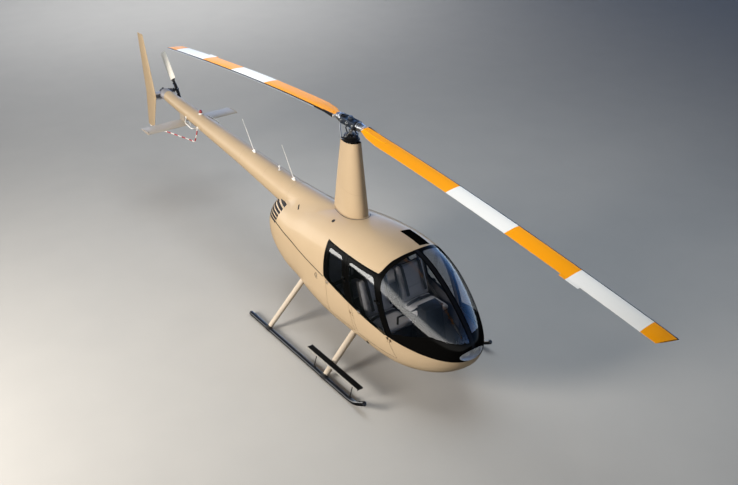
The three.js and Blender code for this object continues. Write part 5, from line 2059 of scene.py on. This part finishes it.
carve(tub, oval("lamp_hole", *LAMP_OVAL))
skinned(tub, lining)
bowl = skin_patch("lamp_bowl", 26, 31, oval("bowl_cut", 198, 834, 1000))
wall = skin_patch("bowl_wall", 1.5, 27, oval("wall_cut", 189.6, 842.4, 991.6))
carve(wall, oval("wall_bore", 186, 846, 988))
bowl_metal = Finish("bowl_metal", (0.62, 0.63, 0.65), Metallic=0.7)
bowl_metal.mottled((0.50, 0.51, 0.53), (0.72, 0.72, 0.73), (14, 4), 0.22, 0.2, (40, 3))
rims, lenses = [], []
for x in (-84, 84):
    spot, aim = Vector((x, -2458, 926)), Vector((x * 1.05, -2492, 915))
    rims.append(turned_piece("rim", (spot, aim), [(0, 50), (8, 56), (14, 57), (16, 53), (8, 50)], 40))
    lenses.append(turned_piece("lens", (spot, aim), [(2, 49.6), (8, 49.6), (12, 38), (14, 16)], 40))
ride(coated(joined("lamp_bowl", bowl, wall, *rims), bowl_metal), "airframe", "steel")
lamp_glass = Finish("lamp_glass", (0.80, 0.82, 0.84), Roughness=0.12)
across, _, _ = lamp_glass.axes()
# The flutes are coloured lighter along their crests: painted highlights on the clear lens.
flutes_and_highlights = (across / 0.006).saw()
lamp_glass.feed(Base_Color=lamp_glass.blend(flutes_and_highlights * 2, (0.62, 0.65, 0.68), (0.9, 0.91, 0.92)))
lamp_glass.relief(flutes_and_highlights, 0.0008)
ride(coated(joined("lamp_lenses", *lenses), lamp_glass), "airframe", "glass")
cover = skin_patch("lamp_cover", 0.6, 4, oval("cover_cut", 189, 843, 991))
clear = Finish("clear_cover", (0.55, 0.58, 0.60), Roughness=0.03)
clear.feed(Alpha=0.16 + clear.facing(0.25) * 0.6)
ride(glazed(cover, clear), "airframe", "glass")

# A panel of smoked plastic in the cabin roof, to port of the middle. It is cut from the same curve as the
# skin and stands a little proud of it.
panel_cut = slab(100, 265, -1320, -925, 1700, 2100)
roof_panel = skin_patch("roof_panel", -2.4, 2, panel_cut)
smoked = Finish("smoked_panel", (0.002, 0.002, 0.002), Specular_IOR_Level=0.0)
smoked.feed(Roughness=0.38 + smoked.noise(30, 3) * 0.12)
skinned(roof_panel, smoked)
ride(coated(roof_panel, smoked, smoked), "airframe", "glass")

# Each door has a polished paddle in a round black dish for a handle, and each side of the cowl a round
# quick-release latch with a steel turn key. All are set in the skin.
def skin_x(side, y, z):
    """How far out the pod's skin is at a place of the side view."""
    hit, _, _, _ = guide.ray_cast(at(side * WIDE, y, z), Vector((-side, 0, 0)))
    return abs(hit.x) * 1000


for suffix, side in SIDES.items():
    for body, y, z in ((f"front_door_{suffix}", -1012, 1000), (f"rear_door_{suffix}", -285, 1090)):
        x = skin_x(side, y, z)
        dish = turned_piece(
            "dish",
            ((side * (x - 6), y, z), (side * (x + 2.5), y, z)),
            [(0, 30), (7.5, 32), (8.5, 29), (4, 25), (3.5, 8)],
            32,
        )
        ride(coated(dish, satin_black), body, "black_parts")
        dish.name = f"{body}_handle_dish"
        paddle = block("paddle", side * (x - 1), side * (x + 5), y - 24, y + 24, z - 8, z + 8, 3, 3)
        ride(coated(paddle, alloy), body, "steel")
        paddle.name = f"{body}_handle"
    y, z = -3, 1053
    x = skin_x(side, y, z)
    latch = turned_piece(
        "latch",
        ((side * (x - 8), y, z), (side * (x + 2), y, z)),
        [(0, 42), (9, 44), (10, 40), (5, 34), (4, 6)],
        36,
    )
    ride(coated(latch, satin_black), "airframe", "black_parts")
    latch.name = f"cowl_latch_{suffix}"
    turn_key = block("turn_key", side * (x - 5), side * (x + 3), y - 6, y + 6, z - 28, z + 28, 3, 3)
    ride(coated(turn_key, steel), "airframe", "steel")
    turn_key.name = f"cowl_latch_key_{suffix}"

# Two small round fittings of the starboard skin: a black drain cup low on the belly and a dark filler
# dimple on the cowl beside the mast, each a turned ring set flush in the skin.
for name, x, y, z in (("drain_cup", -586, -1132, 565), ("roof_dimple", -292, 34, 1779)):
    out = pod_normal(at(x, y, z))
    mid = Vector((x, y, z))
    cup = turned_piece(
        name, (mid - out * 4, mid + out * 8), [(0, 26), (9, 27), (12, 23), (7, 17), (6.5, 5)], 28
    )
    ride(coated(cup, satin_black), "airframe", "black_parts")

# Engine bay: a dark sheet close inside the louvres, painted shade standing in for the dark bay behind them,
# and the exhaust pipe that bends out of the belly opening, both in the engine's sooty enamel.
louvre_shade_sheet = skin_patch("louvre_shade_backing", 60, 66, slab(-WIDE, WIDE, 1150, 1800, 1240, 1600))
ride(coated(louvre_shade_sheet, soot), "airframe", "black_parts")
exhaust = joined(
    "exhaust_pipe",
    bent_tube("exhaust_tube", [(-150, 520, 640), (-150, 560, 520), (-150, 700, 452)], 34, 80, sides=28),
    turned_piece(
        "exhaust_lip",
        ((-150, 690, 456), (-150, 716, 446)),
        [(0, 36), (4, 38), (22, 38), (26, 33), (8, 31)],
        28,
    ),
)
ride(coated(exhaust, soot), "airframe", "steel")
